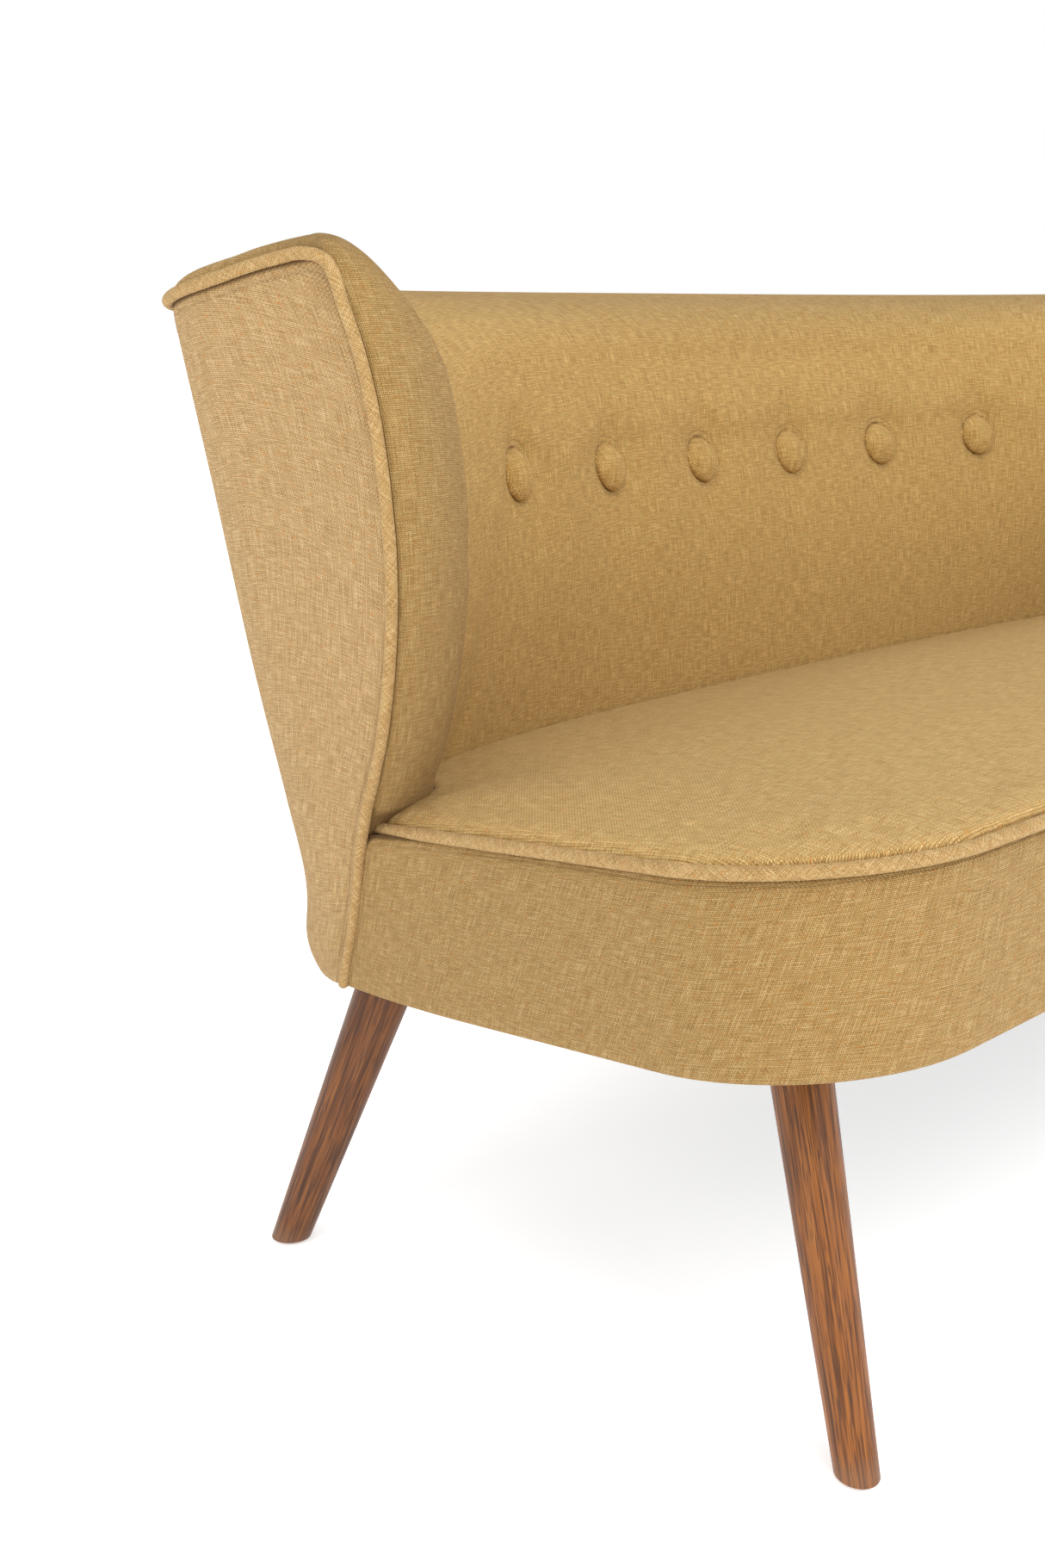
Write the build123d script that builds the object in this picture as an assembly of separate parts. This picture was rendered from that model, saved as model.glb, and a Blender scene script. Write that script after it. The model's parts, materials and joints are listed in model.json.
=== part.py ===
from build123d import *
import os
from math import cos, radians, tan

# Two-seat cocktail sofa with a wrap-around buttoned back and four splayed legs.
# Millimetres, +Z up, the sofa faces -Y, +X is to the right of a person looking at it.
# The model is drawn about the sofa's middle plane X = 0 and is moved at the end so that
# its origin is the bottom centre of its bounding box.

# ---- driving dimensions -------------------------------------------------------------
TILT = 7.4                # degrees the whole seat base leans back
SLOPE = tan(radians(TILT))
BASE_LOW = 249            # height of the apron's lower edge where y = 0
BASE_HIGH = 380           # height of the seat piping where y = 0
SEAT_CROWN = 24           # rise of the seat pad above its piping

SEAT_SIDE = 735           # half width of the seat where the wings start
SEAT_FRONT = -308         # y of the straight front of the apron
SEAT_LEAN = 0.05          # how much the seat widens per millimetre towards the front
SEAT_CORNER = 130         # radius of the two front corners
WING_START = 98           # y where the seat's side meets the wing

# outer surface of the back shell: sizes carried down to the floor, and lean per millimetre
SHELL_SIDE = 661          # half width at the sides
SIDE_LEAN = 0.242
SHELL_REAR = 293          # y of the rear
REAR_LEAN = 0.21
REAR_PULL = 404           # half width between the control points that round the rear corners
PULL_LEAN = 0.0705
SIDE_FROM = 150           # y where the side is widest
SIDE_BEND = 135           # reach of its control point towards the rear
# inner surface: the wing's rounded nose, then the padded face
WING_THICK = 100          # thickness of a wing across its front face
NOSE_DEPTH = 47           # its inner corner lies this far behind the front edge
NOSE_BULGE = 12
FACE_BEND = 70            # reach of the control point where the padded face begins
FACE_PULL = 384           # half width between its outer control points, carried to the floor
FACE_LEAN = 0.1
CREST = [(-60, 768), (50, 766), (200, 742), (330, 734), (520, 731)]   # (y, z) of the top edge
# height, x and y of the left wing's front edge
WING_EDGE = [
    (195, -713, 180), (300, -735, 128), (367, -749, 100), (450, -769, 52),
    (600, -800, 7), (700, -814, 16), (800, -827, 66),
]
# height and y of the padded inner face at the middle of the back
INNER_FACE = [(195, 282), (367, 282), (450, 287), (600, 314), (700, 358), (800, 412)]

FABRIC = 3.0              # cover cloth with its thin wadding
GAP = 0.6                 # clearance between neighbouring layers
BOARD_IN = 8              # plywood of the back frame: distance in from the outer surface
BOARD_OUT = 28
BOARD_FOOT = 31           # the back's boards start this far above the base plane
PANEL_FOOT = 53           # and its thin outer panel this far, above the heads of the bolts
SEAM_DROP = 20            # the outer panel's top seam lies this far under the crest
PLY = 18                  # plywood plates of the seat base
PIPING_R = 4.0
PANEL_THICK = 2.5

LEG_TOP_R = 23
LEG_FOOT_R = 14.5
# for each left leg: top x, y at the base plane and foot x, y on the floor
LEGS = {"front": (-580, -144, -661, -272), "rear": (-652, 184, -731, 226)}
GLIDE_R = 9
GLIDE_H = 2.5

BUTTON_X = [-465, -302, -147, 0, 147, 302, 465]
BUTTON_HEIGHT = 618       # height of the button row where y = 0, following the tilt
BUTTON_R = 22
BUTTON_RIM = 4            # straight part of a button's edge
BUTTON_DOME = 7           # rise of its dome above that edge

BIG = 3000                # longer than anything in the sofa
SIDES = {"left": 1, "right": -1}
EDGE_STEP = 4             # the shell's side stays this far outside the wing's front edge
EDGE_RUN = 20             # and this far behind it

parts = {}


# ---- helpers ------------------------------------------------------------------------
def between(table, z, column):
    """Value of a table's column at height z, straight between its rows."""
    for low, high in zip(table, table[1:]):
        if z <= high[0]:
            break
    share = (z - low[0]) / (high[0] - low[0])
    return low[column] + share * (high[column] - low[column])


def tilted_slab(low, high):
    """Everything between two planes parallel to the tilted seat base."""
    thick = (high - low) * cos(radians(TILT))
    return Pos(0, 0, (low + high) / 2) * Rot(-TILT, 0, 0) * Box(BIG, BIG, thick)


def tilted_prism(outline, low, high):
    """A plan outline as an upright wall between two tilted planes."""
    block = extrude(outline, amount=900, dir=(0, 0, 1))
    return block & tilted_slab(low, high)


def under_crest(drop):
    """Everything lower than the top edge of the back, less a drop."""
    edge = Spline(*[(0, y, z - drop) for y, z in CREST])
    first, last = edge @ 0, edge @ 1
    floor = Polyline(last, (0, last.Y, 0), (0, first.Y, 0), first)
    face = make_face(Wire([edge, *floor.edges()]))
    return extrude(face, amount=BIG / 2, dir=(1, 0, 0), both=True)


def window(x0, x1, y0, y1, z0=0, z1=900):
    """A box given by its limits."""
    return Pos((x0 + x1) / 2, (y0 + y1) / 2, (z0 + z1) / 2) * Box(x1 - x0, y1 - y0, z1 - z0)


def flipped(point):
    return (-point[0], point[1])


def outer_half(z, inset):
    """Control points of the shell's outer left half at height z, front piece and rear piece."""
    front = (between(WING_EDGE, z, 1) + inset, between(WING_EDGE, z, 2))
    side_x = min(-SHELL_SIDE - SIDE_LEAN * z, front[0] - inset - EDGE_STEP) + inset
    side_y = max(SIDE_FROM, front[1] + EDGE_RUN)
    rear_x = -REAR_PULL - PULL_LEAN * z
    rear_y = SHELL_REAR + REAR_LEAN * z - inset
    first = [
        front,
        ((front[0] + side_x) / 2, front[1] + 0.4 * (side_y - front[1])),
        (side_x, front[1] + 0.7 * (side_y - front[1])),
        (side_x, side_y),
    ]
    second = [
        (side_x, side_y),
        (side_x, side_y + SIDE_BEND - inset / 2),
        (rear_x + inset / 2, rear_y),
        (0, rear_y),
    ]
    return first, second


def inner_half(z, inset):
    """Control points of the nose and of the padded inner face, left half, at height z."""
    edge = (between(WING_EDGE, z, 1), between(WING_EDGE, z, 2))
    start = (edge[0] + inset, edge[1])
    nose = (edge[0] + WING_THICK - inset, edge[1] + NOSE_DEPTH + 0.6 * inset)
    face_x = -FACE_PULL - FACE_LEAN * z
    face_y = between(INNER_FACE, z, 1) + inset
    bulge = NOSE_BULGE - 1.3 * inset
    first = [start, (start[0] + 35, start[1] - bulge), (nose[0] - 12, nose[1] - 35), nose]
    second = [nose, (nose[0] + 20, nose[1] + FACE_BEND), (face_x, face_y), (0, face_y)]
    return first, second


def chain(halves, z):
    """Bezier edges of a left half followed by its mirror image, at height z."""
    left = [Bezier(*[(x, y, z) for x, y in pts]) for pts in halves]
    right = [Bezier(*[(-x, y, z) for x, y in reversed(pts)]) for pts in reversed(halves)]
    return left + right


def lofted(section):
    """Loft a function of height through the shell's heights."""
    return loft([section(row[0]) for row in WING_EDGE])


def shell(inset):
    """The whole upholstered back, shrunk by an inset, before it is cut to height."""
    def section(z):
        outside = chain(outer_half(z, inset), z)
        inside = chain(inner_half(z, inset), z)
        return make_face(Wire(outside + inside))
    return lofted(section)


def behind_wings(setback):
    """Everything behind the wings' front edges, less a setback."""
    edge = [(0, y + setback, z) for z, _, y in WING_EDGE]
    face = make_face(Polyline((0, 900, 100), (0, edge[0][1], 100), *edge, (0, 900, 800), close=True))
    return extrude(face, amount=BIG / 2, dir=(1, 0, 0), both=True)


def band(inset, depth, setback=0):
    """A layer that follows the shell's outer surface from one inset to a deeper one."""
    def section(z):
        outside = chain(outer_half(z, inset), z)
        inside = chain(outer_half(z, depth), z)
        ends = [
            Line(outside[0] @ 0, inside[0] @ 0),
            Line(outside[-1] @ 1, inside[-1] @ 1),
        ]
        return make_face(Wire(outside + inside + ends))
    layer = lofted(section)
    if setback:
        layer &= behind_wings(setback)
    return layer


def seat_side_x(y, inset):
    return -SEAT_SIDE + inset + SEAT_LEAN * (y - WING_START)


def seat_outline(inset, rear):
    """Plan of the seat base: straight front, round corners, and a rear curve.

    rear lists the rear control points of the left half, from the wing to the middle.
    """
    front_y = SEAT_FRONT + inset
    radius = SEAT_CORNER - inset
    side_low = (seat_side_x(WING_START, inset), WING_START)
    corner = (seat_side_x(front_y, inset), front_y)
    frame = FilletPolyline(side_low, corner, flipped(corner), flipped(side_low), radius=radius)
    left_rear = Bezier(*rear)
    right_rear = Bezier(*[flipped(p) for p in reversed(rear)])
    steps = [
        Line(side_low, rear[0]),
        Line(flipped(side_low), flipped(rear[0])),
    ]
    return make_face(Wire([*frame.edges(), left_rear, right_rear, *steps]))


def tube(points, bend_share, radius):
    """A round cord along straight runs joined by tangent arcs."""
    radii = []
    for a, b, c in zip(points, points[1:], points[2:]):
        before = Vector(*b) - Vector(*a)
        after = Vector(*c) - Vector(*b)
        half_turn = radians(before.get_angle(after)) / 2
        radii.append(bend_share * min(before.length, after.length) / tan(half_turn))
    path = FilletPolyline(*points, radius=radii)
    profile = Plane(origin=path @ 0, z_dir=path % 0) * Circle(radius)
    return sweep(profile, path=path)


def bezier_point(points, share):
    rest = 1 - share
    weights = (rest ** 3, 3 * rest ** 2 * share, 3 * rest * share ** 2, share ** 3)
    return tuple(sum(w * p[i] for w, p in zip(weights, points)) for i in (0, 1))


def outer_point(share, piece, drop, inset):
    """Point of the left half's outer surface on the seam that runs under the crest."""
    z = 740
    for _ in range(4):
        x, y = bezier_point(outer_half(z, inset)[piece], share)
        z = crest_height(y) - drop
    return x, y, z


def crest_height(y):
    for (y0, z0), (y1, z1) in zip(CREST, CREST[1:]):
        if y <= y1:
            break
    return z0 + (z1 - z0) * (y - y0) / (y1 - y0)


def inner_y(x, z):
    """y of the padded inner face at a place left or right of the middle."""
    points = inner_half(z, 0)[1]
    low, high = 0.0, 1.0
    for _ in range(40):
        share = (low + high) / 2
        if bezier_point(points, share)[0] < -abs(x):
            low = share
        else:
            high = share
    return bezier_point(points, share)[1]


def largest(shape):
    """The main solid of a boolean result, without stray slivers."""
    return max(shape.solids(), key=lambda s: s.volume)


def group(shapes):
    """Several separate solids that share one node."""
    return Compound([solid for shape in shapes for solid in shape.solids()])


# ---- back: covers, padding and frame -------------------------------------------------
REAR_OF_WINGS = 205       # y where the wing boards end and the curved rails begin
SEAT_DECK = 322           # height of the webbing's upper face where y = 0
# rear control points of the plan of the plywood base, of the room cut for it and of the apron
BASE_REAR = [(-684, 178), (-684, 292), (-412, 303), (0, 303)]
BASE_ROOM_REAR = [(-702, 165), (-702, 312), (-420, 312), (0, 312)]
SIDE_END = [(-735, 200), (-700, 240), (-400, 250), (0, 250)]


def ahead_of_wings(clear):
    """Everything in front of the wings' front edges, by a clearance."""
    edge = [(0, y - clear, z) for z, _, y in WING_EDGE]
    face = make_face(Polyline((0, -900, 0), (0, edge[0][1], 0), *edge, (0, -900, 800), close=True))
    return extrude(face, amount=BIG / 2, dir=(1, 0, 0), both=True)


above_base = tilted_slab(BASE_LOW, 1300)
base_space = tilted_prism(seat_outline(-GAP, BASE_ROOM_REAR), -100, SEAT_DECK)
apron_space = tilted_prism(seat_outline(-GAP, SIDE_END), -100, BASE_HIGH - PIPING_R)
apron_space &= ahead_of_wings(0.4)
skin_limit = FABRIC + GAP

outer_cover = band(0, FABRIC, 4) & under_crest(SEAM_DROP) & above_base
parts["outer_back_cover"] = largest(outer_cover)

outer_zone = band(-40, skin_limit, 2) & under_crest(SEAM_DROP - GAP)
inner_cover = shell(0) & under_crest(0) & above_base
inner_cover -= shell(FABRIC) & under_crest(FABRIC)
inner_cover -= outer_zone
inner_cover -= base_space
inner_cover -= apron_space

frame_zone = band(-40, BOARD_OUT + 4, 25) & under_crest(36)
frame_zone &= tilted_slab(BASE_LOW + BOARD_FOOT - 2, 1300)
back_foam = shell(skin_limit) & under_crest(skin_limit) & above_base
back_foam -= frame_zone
back_foam -= base_space
back_foam -= apron_space

panel = band(skin_limit, skin_limit + PANEL_THICK, 12) & under_crest(34)
panel &= tilted_slab(BASE_LOW + PANEL_FOOT, 1300)
parts["outer_back_panel"] = largest(panel)

BOARD_DROP = 38
boards = band(BOARD_IN, BOARD_OUT, 26) & under_crest(BOARD_DROP)
boards &= tilted_slab(BASE_LOW + BOARD_FOOT, 1300)
rear_part = window(-BIG, BIG, REAR_OF_WINGS + GAP, BIG)
for side, sign in SIDES.items():
    reach = (-BIG, 0) if sign > 0 else (0, BIG)
    wing = window(*reach, -BIG, REAR_OF_WINGS)
    parts["wing_board_" + side] = largest(boards & wing)

RAIL_HEIGHT = 62
TOP_RAIL_HEIGHT = 90
POST_X = [-385, -225, -75, 75, 225, 385]
POST_WIDTH = 42
rail_top = BASE_LOW + BOARD_FOOT + RAIL_HEIGHT
lower_rail = boards & rear_part & tilted_slab(0, rail_top)
upper_rail = (boards & rear_part) - under_crest(BOARD_DROP + TOP_RAIL_HEIGHT)
middle = boards & rear_part & under_crest(BOARD_DROP + TOP_RAIL_HEIGHT + GAP)
middle -= tilted_slab(0, rail_top + GAP)
back_posts = [
    largest(middle & window(x - POST_WIDTH / 2, x + POST_WIDTH / 2, 0, BIG)) for x in POST_X
]
parts["back_top_rail"] = largest(upper_rail)
parts["back_posts"] = group(back_posts)

STRAP = 50                # width of the jute webbing
STRAP_THICK = 1.2
STRAP_HEIGHTS = (430, 505, 650)
LINING_THICK = 1
LINING_SETBACK = 60       # webbing and lining stop this far behind the wings' front edges
strap_layer = band(BOARD_OUT + 0.4, BOARD_OUT + 0.4 + STRAP_THICK, LINING_SETBACK)
straps = [
    strap_layer & window(-BIG, BIG, -BIG, BIG, z - STRAP / 2, z + STRAP / 2)
    for z in STRAP_HEIGHTS
]
lining = band(BOARD_OUT + 2, BOARD_OUT + 2 + LINING_THICK, LINING_SETBACK)
lining &= under_crest(LINING_SETBACK)
lining -= tilted_slab(0, SEAT_DECK + 4)

# ---- buttons with their twine and anchors ----------------------------------------------
BUTTON_SINK = 7
TWINE_R = 1.2
ANCHOR_INSET = 24


def button_plane(x):
    """Plane on the padded face at a button, its normal pointing at the sitter."""
    z = BUTTON_HEIGHT
    for _ in range(4):
        z = BUTTON_HEIGHT - inner_y(x, z) * SLOPE
    y = inner_y(x, z)
    step = 8
    across = Vector(2 * step, inner_y(x + step, z) - inner_y(x - step, z), 0)
    upward = Vector(0, inner_y(x, z + step) - inner_y(x, z - step), 2 * step)
    return Plane(origin=(x, y, z), x_dir=across, z_dir=across.cross(upward))


def button():
    """A covered dome button, its flat back at -BUTTON_SINK."""
    dome_r = (BUTTON_R ** 2 + BUTTON_DOME ** 2) / (2 * BUTTON_DOME)
    blank = Cylinder(BUTTON_R, 40, align=(Align.CENTER, Align.CENTER, Align.MIN))
    top = BUTTON_RIM + BUTTON_DOME
    return Pos(0, 0, -BUTTON_SINK) * (blank & Pos(0, 0, top - dome_r) * Sphere(dome_r))


pockets = []
twine_holes = []
twines = []
anchors = []
for number, x in enumerate(BUTTON_X, start=1):
    seat = button_plane(x)
    parts["button_%d" % number] = seat * button()
    pockets.append(seat * Pos(0, 0, 20 - BUTTON_SINK - GAP) * Cylinder(BUTTON_R + 1.2, 40))
    ray = seat * Pos(0, 0, -BUTTON_SINK - 120) * Cylinder(TWINE_R, 239)
    layer = band(ANCHOR_INSET - 3, ANCHOR_INSET, 60)
    anchor = largest(layer & (seat * Pos(0, 0, -100) * Cylinder(13, 160)))
    anchors.append(anchor)
    length = (seat.origin - Vector(*anchor.center())).length - BUTTON_SINK - 2.5
    twines.append(seat * Pos(0, 0, -BUTTON_SINK - GAP - length / 2) * Cylinder(TWINE_R, length))
    twine_holes.append(seat * Pos(0, 0, -BUTTON_SINK - 60) * Cylinder(TWINE_R + 0.8, 130))

for pocket in pockets:
    inner_cover -= pocket
    back_foam -= pocket
for hole in twine_holes:
    back_foam -= hole
    lining -= hole
parts["inner_back_cover"] = largest(inner_cover)
parts["back_foam"] = largest(back_foam)
parts["back_lining"] = largest(lining)
parts["back_webbing"] = group(largest(s) for s in straps)
parts["button_twine"] = group(twines)
parts["button_anchors"] = group(anchors)

# ---- piping of the back: up one wing, round the top seam and down the other -------------
half_path = []
for z in (232, 300, 367, 450, 530, 610, 680, 722):
    half_path.append((between(WING_EDGE, z, 1) - 5, between(WING_EDGE, z, 2) - 5, z))
for piece, shares in ((0, (0.12, 0.75)), (1, (0.1, 0.25, 0.4, 0.55, 0.68, 0.8, 0.92))):
    for share in shares:
        half_path.append(outer_point(share, piece, SEAM_DROP, -PIPING_R - 2.5))
path = half_path + [(-x, y, z) for x, y, z in reversed(half_path)]
parts["back_piping"] = tube(path, 0.45, PIPING_R)
piping_groove = tube(path, 0.45, PIPING_R + 0.3)
for name in ("outer_back_cover", "inner_back_cover", "back_foam"):
    parts[name] = largest(parts[name] - piping_groove)

# ---- seat base: two plywood rings on blocks, with webbing --------------------------------
LOWER_PLY = 262
UPPER_PLY = 300
BASE_EDGE = 15
LOWER_OPENING = (-500, 500, -95, 185)    # x and y limits of the hole in each ring
UPPER_OPENING = (-600, 600, -205, 205)
lower_ring = tilted_prism(seat_outline(BASE_EDGE, BASE_REAR), LOWER_PLY, LOWER_PLY + PLY)
lower_ring -= window(*LOWER_OPENING)
upper_ring = tilted_prism(seat_outline(BASE_EDGE, BASE_REAR), UPPER_PLY, UPPER_PLY + PLY)
upper_ring -= window(*UPPER_OPENING)

BLOCK = (64, 36)
BOLTED_BLOCK_X = (-360, -120, 120, 360)
block_spots = [(x, -262) for x in (-480, -160, 160, 480)]
block_spots += [(x, 262) for x in BOLTED_BLOCK_X]
block_spots += [(sign * 655, y) for sign in (-1, 1) for y in (-110, 60)]
block_spots += [(sign * 640, 170) for sign in (-1, 1)]
block_height = tilted_slab(LOWER_PLY + PLY + 0.1, UPPER_PLY - 0.1)
blocks = [
    window(x - BLOCK[0] / 2, x + BLOCK[0] / 2, y - BLOCK[1] / 2, y + BLOCK[1] / 2) & block_height
    for x, y in block_spots
]

CROSS_RAIL_X = 250
CROSS_RAIL_WIDTH = 60
for side, sign in SIDES.items():
    x = -sign * CROSS_RAIL_X
    rail = window(
        x - CROSS_RAIL_WIDTH / 2, x + CROSS_RAIL_WIDTH / 2,
        LOWER_OPENING[2] + 0.5, LOWER_OPENING[3] - 0.5,
    )
    parts["base_cross_rail_" + side] = rail & tilted_slab(LOWER_PLY, LOWER_PLY + PLY)

SEAT_STRAP_THICK = 1.5
STRAP_HALF_DEPTH = 236
STRAP_HALF_WIDTH = 640
ply_top = UPPER_PLY + PLY
lengthwise = tilted_slab(ply_top + 0.2, ply_top + 0.2 + SEAT_STRAP_THICK)
crosswise = tilted_slab(ply_top + 2, ply_top + 2 + SEAT_STRAP_THICK)
parts["seat_webbing_front_to_back"] = group(
    window(x - STRAP / 2, x + STRAP / 2, -STRAP_HALF_DEPTH, STRAP_HALF_DEPTH) & lengthwise
    for x in range(-540, 541, 120)
)
parts["seat_webbing_side_to_side"] = group(
    window(-STRAP_HALF_WIDTH, STRAP_HALF_WIDTH, y - STRAP / 2, y + STRAP / 2) & crosswise
    for y in (-130, 0, 130)
)

# ---- apron and seat pad --------------------------------------------------------------------
PIPING_GAP = PIPING_R + GAP


def apron_ring(inset, depth, low, high, clear=1.0):
    """A wall round the front and sides that ends just ahead of the wings' front edges."""
    outside = tilted_prism(seat_outline(inset, SIDE_END), low, high)
    inside = tilted_prism(seat_outline(depth, SIDE_END), low - 5, high + 5)
    ring = (outside - inside) & ahead_of_wings(clear)
    return largest(ring - piping_groove)


parts["apron_cover"] = apron_ring(0, FABRIC, BASE_LOW, BASE_HIGH - PIPING_GAP)
parts["apron_foam"] = apron_ring(skin_limit, 9.4, BASE_LOW + 1, BASE_HIGH - PIPING_GAP - 1)
parts["apron_board"] = apron_ring(10, 14.4, BASE_LOW + 3, SEAT_DECK - 2, clear=60)

SEAT_REAR = [(-668, 98), (-644, 192), (-421, 276), (0, 276)]
SEAT_SIDE_END = 60
DOME_RADII = (1500, 640, 100)
DOME_Y = -12


def seat_dome(drop):
    """The crowned upper limit of the seat pad."""
    rise = BASE_HIGH + SEAT_CROWN - DOME_RADII[2] - drop
    return Pos(0, DOME_Y, rise) * Rot(-TILT, 0, 0) * scale(Sphere(1), by=DOME_RADII)


def pad_outline(inset):
    rear = [(x + inset, y - inset) for x, y in SEAT_REAR[:-1]] + [(0, SEAT_REAR[-1][1] - inset)]
    return seat_outline(inset, rear)


def seat_block(inset, low, drop):
    return tilted_prism(pad_outline(inset), low, BASE_HIGH + 60) & seat_dome(drop)


back_room = shell(-GAP)
seat_cover = seat_block(0, BASE_HIGH + PIPING_GAP, 0) - seat_block(FABRIC, BASE_HIGH - 60, FABRIC)
parts["seat_cover"] = largest(seat_cover - back_room)
parts["seat_foam"] = largest(seat_block(10, SEAT_DECK, skin_limit) - back_room)

corner = (seat_side_x(SEAT_FRONT, 0), SEAT_FRONT)
side_start = (seat_side_x(SEAT_SIDE_END, 0), SEAT_SIDE_END)
plan = [side_start, corner, flipped(corner), flipped(side_start)]
piping_path = FilletPolyline(
    *[(x, y, BASE_HIGH - y * SLOPE) for x, y in plan], radius=SEAT_CORNER
)
profile = Plane(origin=piping_path @ 0, z_dir=piping_path % 0) * Circle(PIPING_R)
parts["seat_piping"] = sweep(profile, path=piping_path)

# ---- legs, their plates and fasteners --------------------------------------------------------
PLATE = 58
PLATE_THICK = 3
PLATE_LOW = LOWER_PLY - 0.2 - PLATE_THICK
BOLT_R = 4
BOLT_IN_LEG = 42
BOLT_IN_BASE = 19
SCREW_SPREAD = 22

dust_cover = tilted_prism(seat_outline(BASE_EDGE, BASE_REAR), LOWER_PLY - 1.4, LOWER_PLY - 0.2)
hanger_bolts = []
plate_screws = []
bolt_holes = []
screw_holes = []
for end, (top_x, top_y, foot_x, foot_y) in LEGS.items():
    for side, sign in SIDES.items():
        top = Vector(sign * top_x, top_y, BASE_LOW - top_y * SLOPE)
        foot = Vector(sign * foot_x, foot_y, 0)
        along = (top - foot).normalized()
        length = (top - foot).length
        growth = (LEG_TOP_R - LEG_FOOT_R) / length
        spare = 40
        cone = Cone(
            LEG_FOOT_R - growth * spare, LEG_TOP_R + growth * spare, length + 2 * spare,
            align=(Align.CENTER, Align.CENTER, Align.MIN),
        )
        axis_plane = Plane(origin=foot - along * spare, z_dir=along)
        leg = axis_plane * cone
        leg &= tilted_slab(-900, PLATE_LOW - 0.1)
        leg &= window(-BIG, BIG, -BIG, BIG, GLIDE_H, 900)
        reach = (PLATE_LOW - BASE_LOW) / (along.Z + along.Y * SLOPE)
        mouth = top + along * reach
        bolt_plane = Plane(origin=mouth - along * BOLT_IN_LEG, z_dir=along)
        bolt_length = BOLT_IN_LEG + BOLT_IN_BASE
        stand = (Align.CENTER, Align.CENTER, Align.MIN)
        hanger_bolts.append(bolt_plane * Cylinder(BOLT_R, bolt_length, align=stand))
        hole = bolt_plane * Cylinder(BOLT_R + 0.3, bolt_length + 4, align=stand)
        bolt_holes.append(hole)
        parts["leg_%s_%s" % (end, side)] = largest(leg - hole)
        plate_plane = Pos(mouth.X, mouth.Y, mouth.Z) * Rot(-TILT, 0, 0)
        plate_block = plate_plane * Pos(0, 0, PLATE_THICK / 2) * Box(PLATE, PLATE, PLATE_THICK)
        plate = plate_block - hole
        for dx in (-SCREW_SPREAD, SCREW_SPREAD):
            for dy in (-SCREW_SPREAD, SCREW_SPREAD):
                spot = plate_plane * Pos(dx, dy, 0)
                shank = spot * Pos(0, 0, 7.5) * Cylinder(2, 15)
                head = spot * Pos(0, 0, -0.9) * Cylinder(3.6, 1.6)
                plate_screws.append(largest(shank + head))
                drill = spot * Pos(0, 0, 9) * Cylinder(2.2, 20)
                plate -= drill
                screw_holes.append(drill)
        parts["leg_plate_%s_%s" % (end, side)] = largest(plate)
        dust_cover -= plate_plane * Box(PLATE + 2, PLATE + 2, 12)
        glide = Pos(foot.X, foot.Y, 0) * Cylinder(GLIDE_R, GLIDE_H - 0.1, align=stand)
        parts["glide_%s_%s" % (end, side)] = glide

for hole in bolt_holes + screw_holes:
    lower_ring -= hole
parts["hanger_bolts"] = group(hanger_bolts)
parts["leg_plate_screws"] = group(plate_screws)
parts["dust_cover"] = largest(dust_cover)

# ---- bolts that hold the back to the seat base --------------------------------------------------
SHANK_R = 3
SHANK = 60
HEAD_R = 8
HEAD_H = 3
FRAME_BOLT_Z = 290        # height of the bolts where y = 0
WING_BOLT_Y = 185
frame_bolts = []
clearances = []


def frame_bolt(x, y, z, turn):
    """A round-headed bolt whose shank points inwards from (x, y, z)."""
    place = Pos(x, y, z) * Rot(0, 0, turn) * Rot(90, 0, 0)
    shank = Pos(0, 0, SHANK / 2) * Cylinder(SHANK_R, SHANK)
    head = Pos(0, 0, -HEAD_H / 2) * Cylinder(HEAD_R, HEAD_H)
    frame_bolts.append(largest(place * (shank + head)))
    clearances.append(place * Pos(0, 0, 24) * Cylinder(SHANK_R + 0.4, 76))
    clearances.append(place * Pos(0, 0, -9.8) * Cylinder(HEAD_R + 0.5, 20))


for x in BOLTED_BLOCK_X:
    wall_y = 0
    for _ in range(3):
        z = FRAME_BOLT_Z - wall_y * SLOPE
        points = outer_half(z, BOARD_IN + HEAD_H + 1)[1]
        share = next(s / 200 for s in range(201) if bezier_point(points, s / 200)[0] > -abs(x))
        wall_y = bezier_point(points, share)[1]
    frame_bolt(x, wall_y, z, 0)
for sign in (-1, 1):
    z = FRAME_BOLT_Z - 170 * SLOPE
    wall_x = outer_half(z, BOARD_IN + HEAD_H + 1)[0][3][0]
    frame_bolt(-sign * wall_x, WING_BOLT_Y, z, -90 * sign)

rail_room = [(x - GAP, y + GAP) for x, y in BASE_REAR[:-1]] + [(0, BASE_REAR[-1][1] + GAP)]
lower_rail -= tilted_prism(seat_outline(BASE_EDGE - GAP, rail_room), LOWER_PLY, ply_top + GAP)
for hole in clearances:
    lower_rail -= hole
    blocks = [block - hole for block in blocks]
    for side in SIDES:
        parts["wing_board_" + side] = parts["wing_board_" + side] - hole
parts["back_bottom_rail"] = largest(lower_rail)
for side in SIDES:
    parts["wing_board_" + side] = largest(parts["wing_board_" + side])
parts["frame_bolts"] = group(frame_bolts)
parts["base_blocks"] = group(largest(block) for block in blocks)
parts["base_lower_ring"] = largest(lower_ring)
parts["base_upper_ring"] = largest(upper_ring)

# ---- origin at the bottom centre of the bounding box, and the files ---------------------------
boxes = [shape.bounding_box() for shape in parts.values()]
low = [min(getattr(b.min, a) for b in boxes) for a in "XYZ"]
high = [max(getattr(b.max, a) for b in boxes) for a in "XYZ"]
move = Pos(-(low[0] + high[0]) / 2, -(low[1] + high[1]) / 2, -low[2])
os.makedirs("parts", exist_ok=True)
for name, shape in parts.items():
    export_step(move * shape, "parts/%s.step" % name)
print("moved by", move.position)
print("box", [round(h - l, 2) for l, h in zip(low, high)])
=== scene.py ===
import json
import math

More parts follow.
